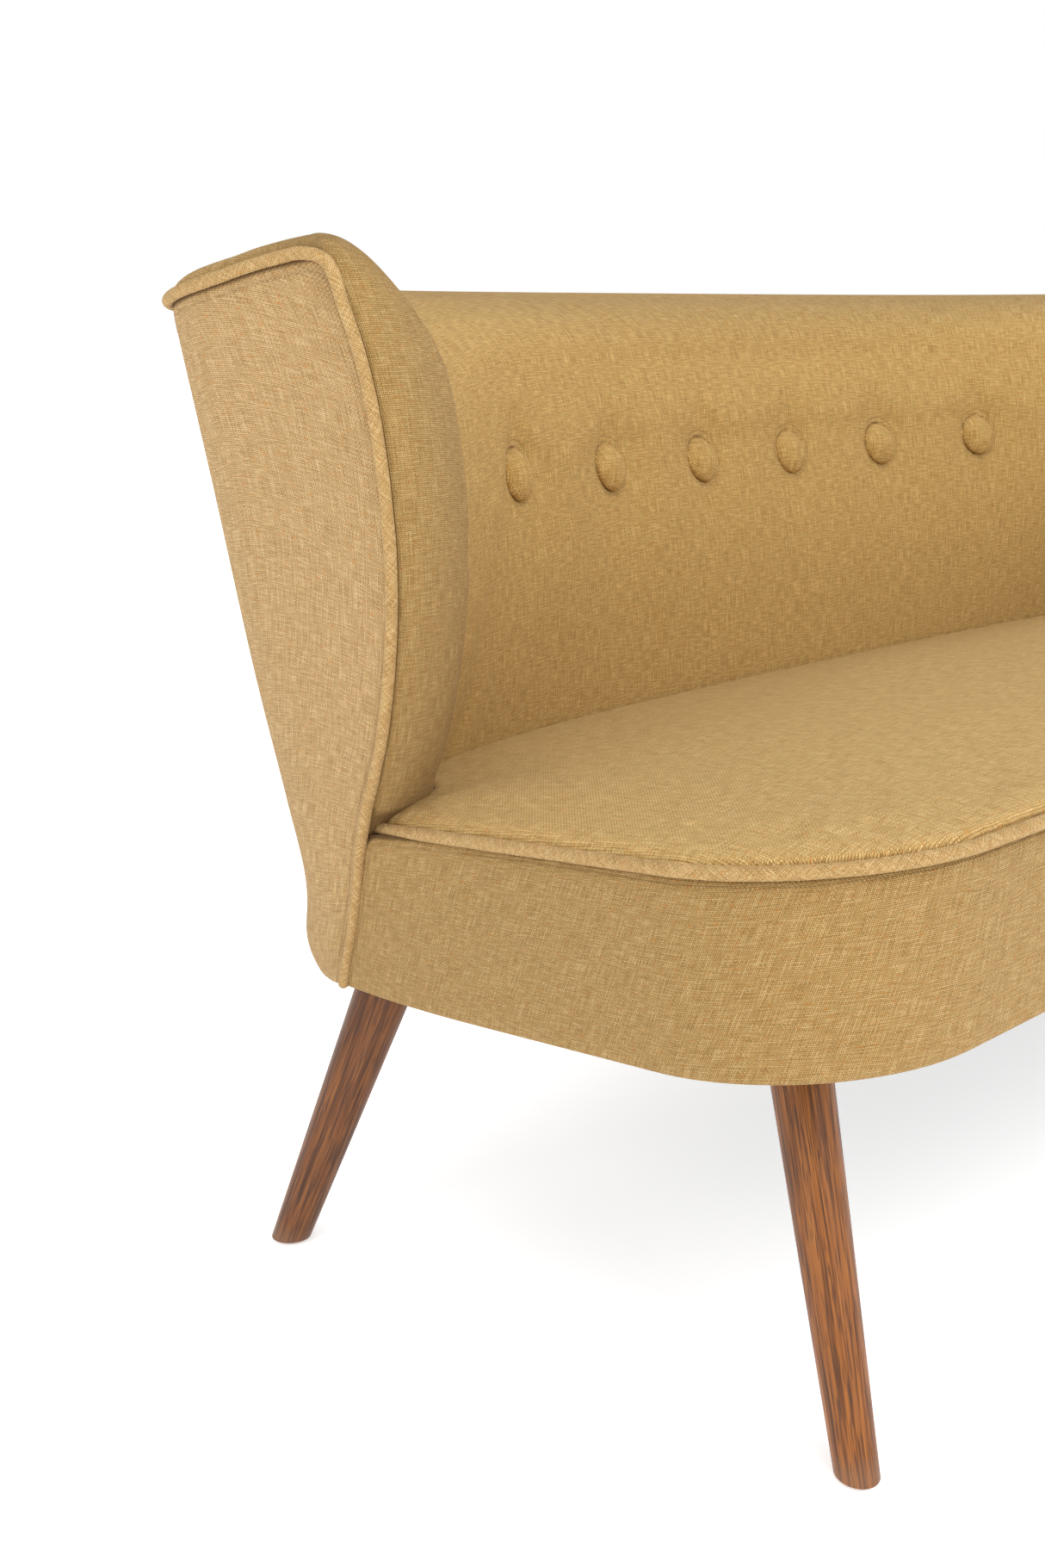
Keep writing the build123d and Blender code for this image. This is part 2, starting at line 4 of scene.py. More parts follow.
import bpy
import numpy as np
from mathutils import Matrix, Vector


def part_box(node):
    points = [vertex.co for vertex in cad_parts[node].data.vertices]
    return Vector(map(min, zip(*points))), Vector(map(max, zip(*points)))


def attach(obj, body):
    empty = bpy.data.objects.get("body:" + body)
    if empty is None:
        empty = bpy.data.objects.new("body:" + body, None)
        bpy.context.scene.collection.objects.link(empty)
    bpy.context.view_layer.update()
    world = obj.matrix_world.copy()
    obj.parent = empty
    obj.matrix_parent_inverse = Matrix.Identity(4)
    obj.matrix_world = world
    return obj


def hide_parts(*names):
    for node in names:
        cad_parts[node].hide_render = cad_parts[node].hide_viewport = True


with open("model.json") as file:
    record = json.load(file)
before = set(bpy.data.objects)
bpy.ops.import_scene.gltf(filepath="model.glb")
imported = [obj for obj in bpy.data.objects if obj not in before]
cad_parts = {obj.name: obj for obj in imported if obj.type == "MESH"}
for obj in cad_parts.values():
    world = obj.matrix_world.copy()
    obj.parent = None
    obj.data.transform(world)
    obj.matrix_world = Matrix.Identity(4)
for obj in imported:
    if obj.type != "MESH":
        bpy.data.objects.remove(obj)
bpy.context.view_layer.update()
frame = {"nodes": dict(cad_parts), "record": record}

# A cocktail sofa with a wrap-around buttoned back, a crowned seat and four wooden legs.
# Drawing tables are in millimetres in the sofa's own drawing frame, where the middle plane is
# x = 0. place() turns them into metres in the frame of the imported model.

MM = 0.001
CLOTH_THICK = 0.0016
NODES = frame["nodes"]

# ---- drawing sizes, in millimetres -----------------------
SLOPE = math.tan(math.radians(7.4))      # the seat base leans back
BASE_LOW = 249                           # apron's lower edge where y = 0
BASE_HIGH = 380                          # seat piping where y = 0
SEAT_SIDE = 735
SEAT_FRONT = -308
SEAT_LEAN = 0.05
SEAT_CORNER = 130
WING_START = 98
PIPING_R = 4.0
SEAM_DROP = 20            # the top seam lies this far under the crest along the back
WING_SEAM_DROP = 16       # and this far at the wing's corner
FLARE = 0.235
WING_THICK = 100
CREST = np.array([(-60, 768), (50, 766), (200, 742), (330, 734), (520, 731)], float)
WING_EDGE = np.array([
    (195, -713, 180), (300, -735, 128), (367, -749, 100), (450, -769, 52),
    (600, -800, 7), (700, -814, 16), (800, -827, 66),
], float)
INNER_FACE = np.array(
    [(195, 282), (367, 282), (450, 287), (600, 314), (700, 358), (800, 412)], float
)
BUTTON_X = (-465, -302, -147, 0, 147, 302, 465)
BUTTON_HEIGHT = 618
BUTTON_R = 22
BUTTON_TIP = 0.14         # the pull of the twine tips each button up a little
LEGS = {"front": (-580, -144, -661, -272), "rear": (-652, 184, -731, 226)}

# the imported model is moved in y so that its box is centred
SHIFT_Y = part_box("seat_piping")[0].y - (SEAT_FRONT - PIPING_R) * MM


def place(points):
    """Drawing points in millimetres to metres in the model's frame."""
    out = np.asarray(points, float) * MM
    out[..., 1] += SHIFT_Y
    return out


# ---- curves of the shell ---------------------------------
def eased(at, keys, values):
    """Smooth curve through a table: values has one row per key."""
    values = np.asarray(values, float)
    slopes = np.gradient(values, keys, axis=0)
    k = np.clip(np.searchsorted(keys, at) - 1, 0, len(keys) - 2)
    step = keys[k + 1] - keys[k]
    t = np.clip((at - keys[k]) / step, -0.5, 1.5)
    extra = (1,) * (values.ndim - 1)
    t = t.reshape(t.shape + extra)
    step = step.reshape(step.shape + extra)
    return (
        (2 * t ** 3 - 3 * t ** 2 + 1) * values[k]
        + (t ** 3 - 2 * t ** 2 + t) * step * slopes[k]
        + (3 * t ** 2 - 2 * t ** 3) * values[k + 1]
        + (t ** 3 - t ** 2) * step * slopes[k + 1]
    )


def crest(y):
    """Height of the top edge at a depth y."""
    return eased(np.asarray(y, float), CREST[:, 0], CREST[:, 1])


def outer_controls(z, edge_x, edge_y):
    """Two cubic curves: wing edge to shell side, and shell side to the middle of the back."""
    flare = FLARE * (z - 227)
    side_x = min(-716 - flare * 1.03, edge_x - 4)
    side_y = max(150, edge_y + 20)
    rear_y = 335 + 0.21 * (z - 200)
    return [
        (edge_x, edge_y),
        ((edge_x + side_x) / 2, 0.6 * edge_y + 0.4 * side_y),
        (side_x, 0.3 * edge_y + 0.7 * side_y),
        (side_x, side_y),
        (side_x, side_y),
        (side_x, side_y + 135),
        (-420 - 0.3 * flare, rear_y),
        (0, rear_y),
    ]


def inner_controls(z, edge_x, edge_y):
    """Two cubic curves: the wing's nose, and the padded face to the middle of the back."""
    face_y = np.interp(z, INNER_FACE[:, 0], INNER_FACE[:, 1])
    nose = (edge_x + WING_THICK, edge_y + 47)
    return [
        (edge_x, edge_y),
        (edge_x + 35, edge_y - 12),
        (nose[0] - 12, nose[1] - 35),
        nose,
        nose,
        (nose[0] + 20, nose[1] + 70),
        (-420 - 0.1 * (z - 360), face_y),
        (0, face_y),
    ]


HEIGHTS = WING_EDGE[:, 0]
OUTER = np.array([outer_controls(*row) for row in WING_EDGE])
INNER = np.array([inner_controls(*row) for row in WING_EDGE])


def on_section(table, z, s):
    """Plan point of a section at height z; s is 0 to 1 on its first curve, 1 to 2 on its second."""
    z, s = np.broadcast_arrays(np.asarray(z, float), np.asarray(s, float))
    controls = eased(z, HEIGHTS, table)
    second = (s > 1)[..., None, None]
    c = np.where(second, controls[..., 4:, :], controls[..., :4, :])
    t = np.where(s > 1, s - 1, s)[..., None]
    r = 1 - t
    return (
        r ** 3 * c[..., 0, :] + 3 * r ** 2 * t * c[..., 1, :]
        + 3 * r * t ** 2 * c[..., 2, :] + t ** 3 * c[..., 3, :]
    )


def arc(points):
    """Running length along rows of points."""
    steps = np.linalg.norm(np.diff(points, axis=0), axis=-1)
    return np.concatenate([np.zeros((1,) + steps.shape[1:]), np.cumsum(steps, axis=0)])


def even_shares(table, z, count, start=0.0, end=2.0):
    """Values of s spread evenly by length along a section."""
    s = np.linspace(start, end, 400)
    length = arc(on_section(table, np.full(400, float(z)), s))
    return np.interp(np.linspace(0, length[-1], count), length, s)


def settle_height(table, s, aim):
    """Height on a column where aim(y) equals the height."""
    z = np.full(np.shape(s), 500.0)
    for _ in range(25):
        z = 0.5 * z + 0.5 * aim(on_section(table, z, s)[..., 1])
    return z


def base_level(height):
    """A callable giving a level of the tilted base at a depth y."""
    return lambda y: height - y * SLOPE


def seam_level(s):
    """A callable giving the top seam's height at a depth y, on the outer surface's columns s."""
    share = np.clip(np.asarray(s, float) / 0.7, 0, 1)
    drop = WING_SEAM_DROP + (SEAM_DROP - WING_SEAM_DROP) * share
    return lambda y: crest(y) - drop


# ---- meshes ----------------------------------------------
def with_right(half):
    """A left half grid of values followed by its mirror image; the last column is the middle."""
    return np.concatenate([half, half[:, -2::-1]], axis=1)


def mirrored(half):
    """A left half grid of points followed by its mirror image."""
    return np.concatenate([half, half[:, -2::-1] * (-1, 1, 1)], axis=1)


def unrolled(across, up):
    """UVs in metres of a whole grid, from the running lengths of its left half."""
    half = np.dstack([across, up]) * MM
    other = half[:, -2::-1].copy()
    other[..., 0] = 2 * half[:, -1:, 0] - other[..., 0]
    return np.concatenate([half, other], axis=1)


def added(name, data):
    """A new object in the scene."""
    obj = bpy.data.objects.new(name, data)
    bpy.context.scene.collection.objects.link(obj)
    return obj


def point_values(mesh, name, values):
    """Stores one number per point, which a material can read by its name."""
    attribute = mesh.attributes.new(name, "FLOAT", "POINT")
    attribute.data.foreach_set("value", np.asarray(values, dtype=np.float32).ravel())


def mesh_object(name, points, faces, uv=None, seam=None):
    """A smooth mesh object from points in metres, with UVs in metres and a seam distance, which the
    cloth reads for its painted shade lines.
    """
    mesh = bpy.data.meshes.new(name)
    mesh.from_pydata([tuple(p) for p in points], [], [tuple(f) for f in faces])
    mesh.update()
    if uv is not None:
        layer = mesh.uv_layers.new(name="cloth")
        loops = np.empty(len(mesh.loops), dtype=np.int32)
        mesh.loops.foreach_get("vertex_index", loops)
        layer.data.foreach_set("uv", np.asarray(uv)[loops].astype(np.float32).ravel())
    if seam is not None:
        point_values(mesh, "seam", seam)
    mesh.polygons.foreach_set("use_smooth", [True] * len(mesh.polygons))
    return added(name, mesh)


def grid_faces(rows, columns, wrap=False):
    """Quads of a grid; wrap joins the last column to the first."""
    index = np.arange(rows * columns).reshape(rows, columns)
    if wrap:
        index = np.concatenate([index, index[:, :1]], axis=1)
    return np.stack(
        [index[:-1, :-1], index[:-1, 1:], index[1:, 1:], index[1:, :-1]], axis=-1
    ).reshape(-1, 4)


def grid_object(name, points, uv, seam, flip=False):
    """A grid surface in drawing millimetres, with its UVs and seam distances in metres."""
    rows, columns = points.shape[:2]
    faces = grid_faces(rows, columns)
    if flip:
        faces = faces[:, ::-1]
    flat = place(points).reshape(-1, 3)
    return mesh_object(name, flat, faces, uv.reshape(-1, 2), seam.reshape(-1))


def thickened(obj, levels=1):
    """Gives a skin the cloth's thickness, inwards, and rounds it."""
    solid = obj.modifiers.new("thickness", "SOLIDIFY")
    solid.thickness = CLOTH_THICK
    solid.offset = -1
    if levels:
        soft = obj.modifiers.new("smooth", "SUBSURF")
        soft.levels = soft.render_levels = levels
    return obj


def slow_noise(a, b, seed):
    """Smooth waves between -1 and 1 over a plane, the same on each run."""
    count = 6
    pick = np.random.default_rng(seed)
    total = np.zeros(np.broadcast(a, b).shape)
    for _ in range(count):
        turn = pick.uniform(0, 2 * math.pi)
        rate = pick.uniform(0.6, 1.6)
        total += np.sin((a * math.cos(turn) + b * math.sin(turn)) * rate + pick.uniform(0, 6.3))
    return total / count


def distance_to(line, grid):
    """Distance in plan from each point of a grid to the nearest point of a line."""
    gaps = np.linalg.norm(grid.reshape(-1, 2)[:, None, :] - line[None], axis=-1)
    return np.min(gaps, axis=1).reshape(grid.shape[:2])


def normals_of(points):
    """Unit normals of a grid, from its rows and columns."""
    across = np.gradient(points, axis=1)
    along = np.gradient(points, axis=0)
    n = np.cross(across, along)
    return n / np.maximum(np.linalg.norm(n, axis=-1, keepdims=True), 1e-9)


# ---- cloth solver ----------------------------------------
SOLVE_FRAMES = 20
SOLVE_CELL = 10           # the solver's own grid, in millimetres
BROAD_SWELL = 70          # swells wider than this are the pad's own shape


def smoothed(field, spread):
    """A field on a grid, blurred over rows and columns with a spread in steps."""
    reach = int(spread * 2.5)
    weights = np.exp(-0.5 * (np.arange(-reach, reach + 1) / spread) ** 2)
    weights /= weights.sum()
    for axis in (0, 1):
        pad = [(0, 0), (0, 0)]
        pad[axis] = (reach, reach)
        wide = np.pad(field, pad, mode="edge")
        field = sum(
            w * np.take(wide, np.arange(k, k + field.shape[axis]), axis=axis)
            for k, w in enumerate(weights)
        )
    return field


def solver_rows(count, length):
    """Rows of a fine grid that the solver's coarser grid uses."""
    coarse = min(count, int(length / SOLVE_CELL))
    return np.unique(np.linspace(0, count - 1, coarse).round().astype(int))


def drawn_tight(points, out, sewn, keep, limit):
    """How far cloth sewn at its seams and pushed from behind moves along a grid's normals.

    points and out are the grid and its outward normals in millimetres, sewn marks the points held
    in place. Of the broad swell only the share keep is used, since the grid has the pad's own
    shape; what is left shows how the cloth pulls at seams and buttons.
    """
    rows, columns = sewn.shape
    length = np.linalg.norm(np.diff(points[:, columns // 2], axis=0), axis=1).sum()
    width = np.linalg.norm(np.diff(points[rows // 2], axis=0), axis=1).sum()
    row_at = solver_rows(rows, length)
    column_at = solver_rows(columns, width)
    pick = np.ix_(row_at, column_at)
    start = points[pick]
    away = out[pick]
    held = sewn[pick]
    faces = grid_faces(len(row_at), len(column_at))
    r, c = len(row_at) // 2, len(column_at) // 2
    face = np.cross(start[r + 1, c + 1] - start[r, c], start[r + 1, c] - start[r, c + 1])
    if np.dot(face, away[r, c]) < 0:
        faces = faces[:, ::-1]
    sheet = mesh_object("solver_sheet", start.reshape(-1, 3) * MM, faces)
    group = sheet.vertex_groups.new(name="sewn")
    group.add([int(i) for i in np.flatnonzero(held.ravel())], 1.0, "REPLACE")
    cloth = sheet.modifiers.new("cloth", "CLOTH")
    cloth.settings.quality = 5
    cloth.settings.vertex_group_mass = "sewn"
    cloth.settings.use_pressure = True
    cloth.settings.uniform_pressure_force = 4.0
    cloth.settings.effector_weights.gravity = 0.0
    cloth.settings.bending_stiffness = 1.0
    cloth.collision_settings.use_collision = False
    cloth.point_cache.frame_start = 1
    cloth.point_cache.frame_end = SOLVE_FRAMES
    for number in range(1, SOLVE_FRAMES + 1):
        bpy.context.scene.frame_set(number)
    solved = sheet.evaluated_get(bpy.context.evaluated_depsgraph_get()).to_mesh()
    moved = np.empty(len(solved.vertices) * 3)
    solved.vertices.foreach_get("co", moved)
    bpy.data.objects.remove(sheet)
    bpy.context.scene.frame_set(1)
    push = ((moved.reshape(start.shape) / MM - start) * away).sum(axis=-1)
    broad = smoothed(push, BROAD_SWELL / SOLVE_CELL)
    push = np.clip(push - (1 - keep) * broad, -limit, limit)
    wide = np.array([np.interp(np.arange(columns), column_at, row) for row in push])
    return np.array([np.interp(np.arange(rows), row_at, column) for column in wide.T]).T


# ---- outer panel -----------------------------------------
CURL_HEIGHT = 48          # the panel's foot curls in over this height
CURL_DEPTH = 21
PANEL_ROWS = 60
TURN_UNDER = 26           # cloth that is folded under the base
NO_SEAM = 60.0            # a seam distance too large to show


def outer_panel():
    """Smooth cloth over the outside of the shell, seamed at the wing edge and under the crest."""
    front = np.linspace(0, 1, 12)[:-1]
    rear = even_shares(OUTER, 600, 64, 1.0, 2.0)
    s = np.concatenate([front, rear])[None, :]
    low = settle_height(OUTER, s, base_level(BASE_LOW))
    high = settle_height(OUTER, s, seam_level(s))
    share = np.linspace(0, 1, PANEL_ROWS)[:, None]
    share = share - 0.035 * np.sin(2 * math.pi * share)
    z = low + (high - low) * share
    xy = on_section(OUTER, z, s)
    points = np.dstack([xy, z])
    up = z - low
    side = arc(np.transpose(points, (1, 0, 2))).T
    to_seam = np.minimum(side, high - z)
    shade = np.minimum(np.maximum(side, 6), high - z)
    out = -normals_of(points)
    out *= np.sign(0.4 * out[..., 1:2] - out[..., :1])
    curl = CURL_DEPTH * np.clip(1 - up / CURL_HEIGHT, 0, 1) ** 2 * (1 - np.exp(-side / 45))
    tuck = 1.6 * np.exp(-to_seam / 5)
    swell = 2.5 * np.sin(math.pi * share) * (1 - np.exp(-side / 80))
    drift = 0.8 * slow_noise(side / 90, up / 110, 3) * (1 - np.exp(-to_seam / 40))
    plan_out = out.copy()
    plan_out[..., 2] = 0
    points = points + plan_out * (swell + drift - tuck - curl)[..., None]
    under = []
    for depth, lift in ((TURN_UNDER, 4), (TURN_UNDER * 0.5, 1.5), (6, -0.5), (1.5, 0.8)):
        row = points[:1] - plan_out[:1] * depth
        row[..., 2] += lift
        under.append(row)
    points = np.concatenate(under + [points])
    side = np.concatenate([side[:1]] * len(under) + [side])
    shade = np.concatenate([np.full((len(under), s.shape[1]), NO_SEAM), shade])
    uv = unrolled(side, arc(points))
    return grid_object("outer_panel", mirrored(points), uv, with_right(shade) * MM, flip=True)


# ---- padded inner back -----------------------------------
NOSE_COLUMNS = 24
FACE_COLUMNS = 150
FACE_ROWS = 92
CREST_ROWS = 20
LIP_ROWS = 9
NOSE_PARTNER = 0.07       # share of the outer seam that the nose is sewn to
BELOW_SEAT = 34           # the cloth runs on this far below the piping's level


def roll_size(share):
    """Height of the top roll, small at the wing's seam and full at its inner corner."""
    grow = np.clip(share / 0.85, 0, 1)
    return 8 + 70 * (grow ** 0.8) - 18 * np.clip((share - 1.1) / 0.6, 0, 1)


def back_grid():
    """Half of the padded back: up the inner face, over the roll and down to the outer seam."""
    nose = even_shares(INNER, 600, NOSE_COLUMNS + 1, 0.0, 1.0)[:-1]
    face = even_shares(INNER, 600, FACE_COLUMNS, 1.0, 2.0)
    s = np.concatenate([nose, face])[None, :]
    nose_reach = np.clip(s, 0, 1)
    outer_far = even_shares(OUTER, 700, 400)
    even = np.linspace(0, 1, len(outer_far))
    partner_nose = np.interp(nose_reach ** 1.3 * NOSE_PARTNER, even, outer_far)
    face_length = arc(on_section(INNER, np.full(FACE_COLUMNS, 700.0), face))
    face_share = NOSE_PARTNER + (1 - NOSE_PARTNER) * face_length / face_length[-1]
    face_share = np.concatenate([np.zeros(NOSE_COLUMNS), face_share])
    partner = np.where(s <= 1, partner_nose, np.interp(face_share, even, outer_far)[None, :])
    top = settle_height(OUTER, partner, seam_level(partner))
    seam_point = np.dstack([on_section(OUTER, top, partner), top])[0]
    rise = np.interp(s, (0, 0.15, 0.4, 1.0, 1.35, 1.6), (0, 8, 13, 14.5, 16, SEAM_DROP))
    crown = top + rise
    high = crown - roll_size(s)
    low = settle_height(INNER, s, base_level(BASE_HIGH)) - BELOW_SEAT
    share = np.linspace(0, 1, FACE_ROWS)[:, None]
    z = low + (high - low) * share
    face_points = np.dstack([on_section(INNER, z, s), z])
    start = face_points[-1]
    climb = face_points[-1] - face_points[-2]
    climb /= np.linalg.norm(climb, axis=-1, keepdims=True)
    flat = seam_point - start
    reach = np.linalg.norm(flat[:, :2], axis=-1)
    lip = np.minimum(0.22 * reach, 17)
    ahead = flat[:, :2] / np.maximum(reach, 1e-6)[:, None]
    climb_left = crown[0] - start[:, 2]
    fall = crown[0] - seam_point[:, 2]
    shoulder = np.interp(s[0], (1.0, 1.3, 1.6), (0.72, 0.85, 1.0))
    rows = []
    # up and over the roll's crown, first still leaning the way the face climbs
    for angle in np.linspace(0, math.pi / 2, CREST_ROWS)[1:]:
        up = math.sin(angle)
        over = (reach - lip) * (1 - math.cos(angle)) ** shoulder
        row = np.empty_like(start)
        row[:, :2] = start[:, :2] + ahead * over[:, None]
        row[:, :2] += climb[:, :2] * climb_left[:, None] * up * (1 - up) * 0.5
        row[:, 2] = start[:, 2] + climb_left * up
        rows.append(row)
    # down to the outer seam
    for angle in np.linspace(0, math.pi / 2, LIP_ROWS)[1:]:
        row = np.empty_like(start)
        row[:, :2] = seam_point[:, :2] - ahead * (lip * (1 - math.sin(angle)))[:, None]
        row[:, 2] = seam_point[:, 2] + fall * math.cos(angle)
        rows.append(row)
    return np.concatenate([face_points, np.array(rows)])


def inner_point(x, z):
    """y of the padded face left or right of the middle."""
    s = np.linspace(1, 2, 600)
    row = on_section(INNER, np.full(600, float(z)), s)
    return float(np.interp(-abs(x), row[:, 0], row[:, 1]))


def button_frames():
    """Centre, right, up and outward directions of each button, in millimetres."""
    found = []
    for x in BUTTON_X:
        z = BUTTON_HEIGHT
        for _ in range(5):
            z = BUTTON_HEIGHT - inner_point(x, z) * SLOPE
        centre = Vector((x, inner_point(x, z), z))
        right = Vector((16, inner_point(x + 8, z) - inner_point(x - 8, z), 0)).normalized()
        up = Vector((0, inner_point(x, z + 8) - inner_point(x, z - 8), 16)).normalized()
        out = right.cross(up).normalized()
        out = (out + Vector((0, 0, BUTTON_TIP))).normalized()
        right = (right - out * right.dot(out)).normalized()
        up = out.cross(right)
        found.append((centre, right, up, out))
    return found


BUTTONS = button_frames()


def back_upholstery():
    """The whole padded inner back with its dimples."""
    half = back_grid()
    run = arc(np.transpose(half, (1, 0, 2))).T
    rise = arc(half)
    uv = unrolled(np.repeat(run[FACE_ROWS // 2:FACE_ROWS // 2 + 1], len(half), axis=0), rise)
    to_end = rise[-1:] - rise
    seam = with_right(np.minimum(run, to_end))
    points = mirrored(half)
    # painted shade: only the wing's front edge shows a dark line, and it fades out at the upper
    # corner
    line = with_right(np.where(run < 9, run * 0.6, 30) + 8 * np.exp(-(to_end / 30) ** 2))
    out = normals_of(points)
    middle = out[FACE_ROWS // 2, out.shape[1] // 2]
    if middle[1] > 0:
        out = -out
    inland = 1 - np.exp(-(seam / 70) ** 2)
    from_corner = np.minimum(*(
        np.linalg.norm(points - corner, axis=-1) for corner in (points[-1, 0], points[-1, -1])
    ))
    tuck = 2.6 * np.exp(-seam / 5) * (1 - np.exp(-(from_corner / 14) ** 2))
    waves = 1.1 * slow_noise(uv[..., 0] / 0.085, uv[..., 1] / 0.1, 11)
    waves *= 1 - np.exp(-seam / 45)
    # painted shade: the wings' noses and the crown are painted darker than the padded face
    on_nose = np.clip((230 - run) / 110, 0, 1)
    on_crown = np.clip((150 - to_end) / 80, 0, 1)
    nose_and_crown_shade_weight = with_right(np.maximum(on_nose, 0.8 * on_crown))
    push = waves - tuck
    ring = np.full(seam.shape, 99.0)
    for centre, right, up, _ in BUTTONS:
        d = points - np.array(centre)
        a = d @ np.array(right)
        b = d @ np.array(up)
        r = np.sqrt(a ** 2 + b ** 2)
        push -= 5.0 * np.exp(-(r / 50) ** 2) + 4.5 * np.exp(-(r / 25) ** 4)
        ring = np.minimum(ring, np.abs(r - BUTTON_R))
    sewn = ring < 3
    sewn[0] = sewn[-1] = True
    sewn[:, 0] = sewn[:, -1] = True
    # painted shade: a dark ring round each button
    line = np.minimum(line, ring * 1.2 + 3.0)
    # painted shade: a dark line along the foot of the back, where the seat meets it
    above_seat = points[..., 2] - BASE_HIGH + points[..., 1] * SLOPE - 4
    line = np.minimum(line, np.where(above_seat < 14, np.maximum(above_seat, 0) * 0.5, 30))
    push += drawn_tight(points, out, sewn, keep=0.1, limit=3.0) * inland
    obj = grid_object("back_upholstery", points + out * push[..., None], uv, line * MM)
    # stores where the painted shade darkens the noses and the crown
    point_values(obj.data, "nose_and_crown_shade", nose_and_crown_shade_weight)
    return obj


# ---- apron and seat --------------------------------------
def plan_outline(inset, side_end, count=260):
    """Left end, round the front, to the right end of the seat's plan; even by length."""
    front = SEAT_FRONT + inset
    radius = SEAT_CORNER - inset

    def side_x(y):
        return -SEAT_SIDE + inset + SEAT_LEAN * (y - WING_START)

    corner = Vector((side_x(front), front))
    along_side = (Vector((side_x(side_end), side_end)) - corner).normalized()
    along_front = Vector((1, 0))
    half_turn = along_side.angle(along_front) / 2
    back_off = radius / math.tan(half_turn)
    begin = corner + along_side * back_off
    centre = corner + (along_side + along_front).normalized() * (radius / math.sin(half_turn))
    finish = corner + along_front * back_off
    turn_a = math.atan2(begin.y - centre.y, begin.x - centre.x)
    turn_b = math.atan2(finish.y - centre.y, finish.x - centre.x)
    if turn_b < turn_a - math.pi:
        turn_b += 2 * math.pi
    if turn_a < turn_b - math.pi:
        turn_a += 2 * math.pi
    left = [(side_x(side_end), side_end)]
    for turn in np.linspace(turn_a, turn_b, 40):
        left.append((centre.x + radius * math.cos(turn), centre.y + radius * math.sin(turn)))
    line = np.array(left + [(-x, y) for x, y in reversed(left)])
    length = arc(line)
    at = np.linspace(0, length[-1], count)
    return np.column_stack([np.interp(at, length, line[:, i]) for i in range(2)])


APRON_UNDER = 24          # cloth that is folded under the base


def apron():
    """The deep band under the seat, from wing to wing round the front."""
    high_end, low_end = 104, 170
    count = 230
    blend_over = 170          # the ends are drawn to the wing's edge over this length
    rows = []
    profile = [
        (-0.02, APRON_UNDER, 5), (-0.02, APRON_UNDER * 0.5, 2.5), (0.0, 7, -0.3), (0.004, 2.2, 0.4),
        (0.02, 0.3, 0), (0.05, -0.8, 0),
    ]
    for t in np.linspace(0.09, 0.9, 22):
        profile.append((t, -1.0 - 1.6 * math.sin(math.pi * t), 0))
    profile += [(0.93, -0.8, 0), (0.955, 0.3, 0), (0.975, 1.8, 0), (0.99, 3.6, 0), (1.0, 6.0, 0)]
    top = BASE_HIGH - PIPING_R * 0.4
    for t, inset, lift in profile:
        end = low_end + (high_end - low_end) * max(t, 0)
        line = plan_outline(inset, end, count)
        z = BASE_LOW + (top - BASE_LOW) * max(t, 0) - line[:, 1] * SLOPE + lift
        edge = eased(z[:1], HEIGHTS, WING_EDGE[:, 1:])[0]
        pull = edge + (1.2 + inset * 0.7, 0.8) - line[0]
        run = arc(line)
        weight = np.clip(1 - run / blend_over, 0, 1)[:, None] ** 2
        line = line + weight * pull + weight[::-1] * pull * (-1, 1)
        rows.append(np.column_stack([line, z]))
    points = np.array(rows)
    run = np.repeat(arc(points[20])[None, :], len(points), axis=0)
    rise = arc(points)
    uv = np.dstack([run, rise]) * MM
    to_top = rise[-1:] - rise
    to_end = np.minimum(run, run[:, -1:] - run)
    seam = np.minimum(to_top, to_end)
    out = normals_of(points)
    if out[15, count // 2, 1] > 0:
        out = -out
    drift = 0.7 * slow_noise(run / 70, rise / 45, 21) * (1 - np.exp(-seam / 25))
    points = points + out * drift[..., None]
    # painted shade: the seam distance darkens the band under the piping and at its ends
    return grid_object("apron", points, uv, seam * MM)


PAD_INSET = 3.2
PAD_EDGE = 34             # width of the pad's rounded border
PAD_RISE = 13             # height of the pad where the border ends
PAD_CROWN = 17            # and what its middle rises above that


def coons(front, rear, left, right, rows, columns):
    """A patch between four border curves, each a callable from 0 to 1."""
    s = np.linspace(0, 1, columns)
    t = np.linspace(0, 1, rows)
    s = s - 0.045 * np.sin(2 * math.pi * s)
    t = t - 0.06 * np.sin(2 * math.pi * t)
    f, r, l, g = front(s), rear(s), left(t), right(t)
    s, t = s[None, :, None], t[:, None, None]
    blend = (1 - t) * f[None] + t * r[None] + (1 - s) * l[:, None] + s * g[:, None]
    corners = (
        (1 - s) * (1 - t) * f[0] + s * (1 - t) * f[-1] + (1 - s) * t * r[0] + s * t * r[-1]
    )
    return blend - corners


def along(line):
    """A callable that walks a polyline by length."""
    length = arc(line)

    def walk(share):
        at = share * length[-1]
        return np.column_stack([np.interp(at, length, line[:, i]) for i in range(2)])
    return walk


def upward(points):
    """Unit normals of a grid that faces up."""
    n = normals_of(points)
    return n * np.sign(n[..., 2:])


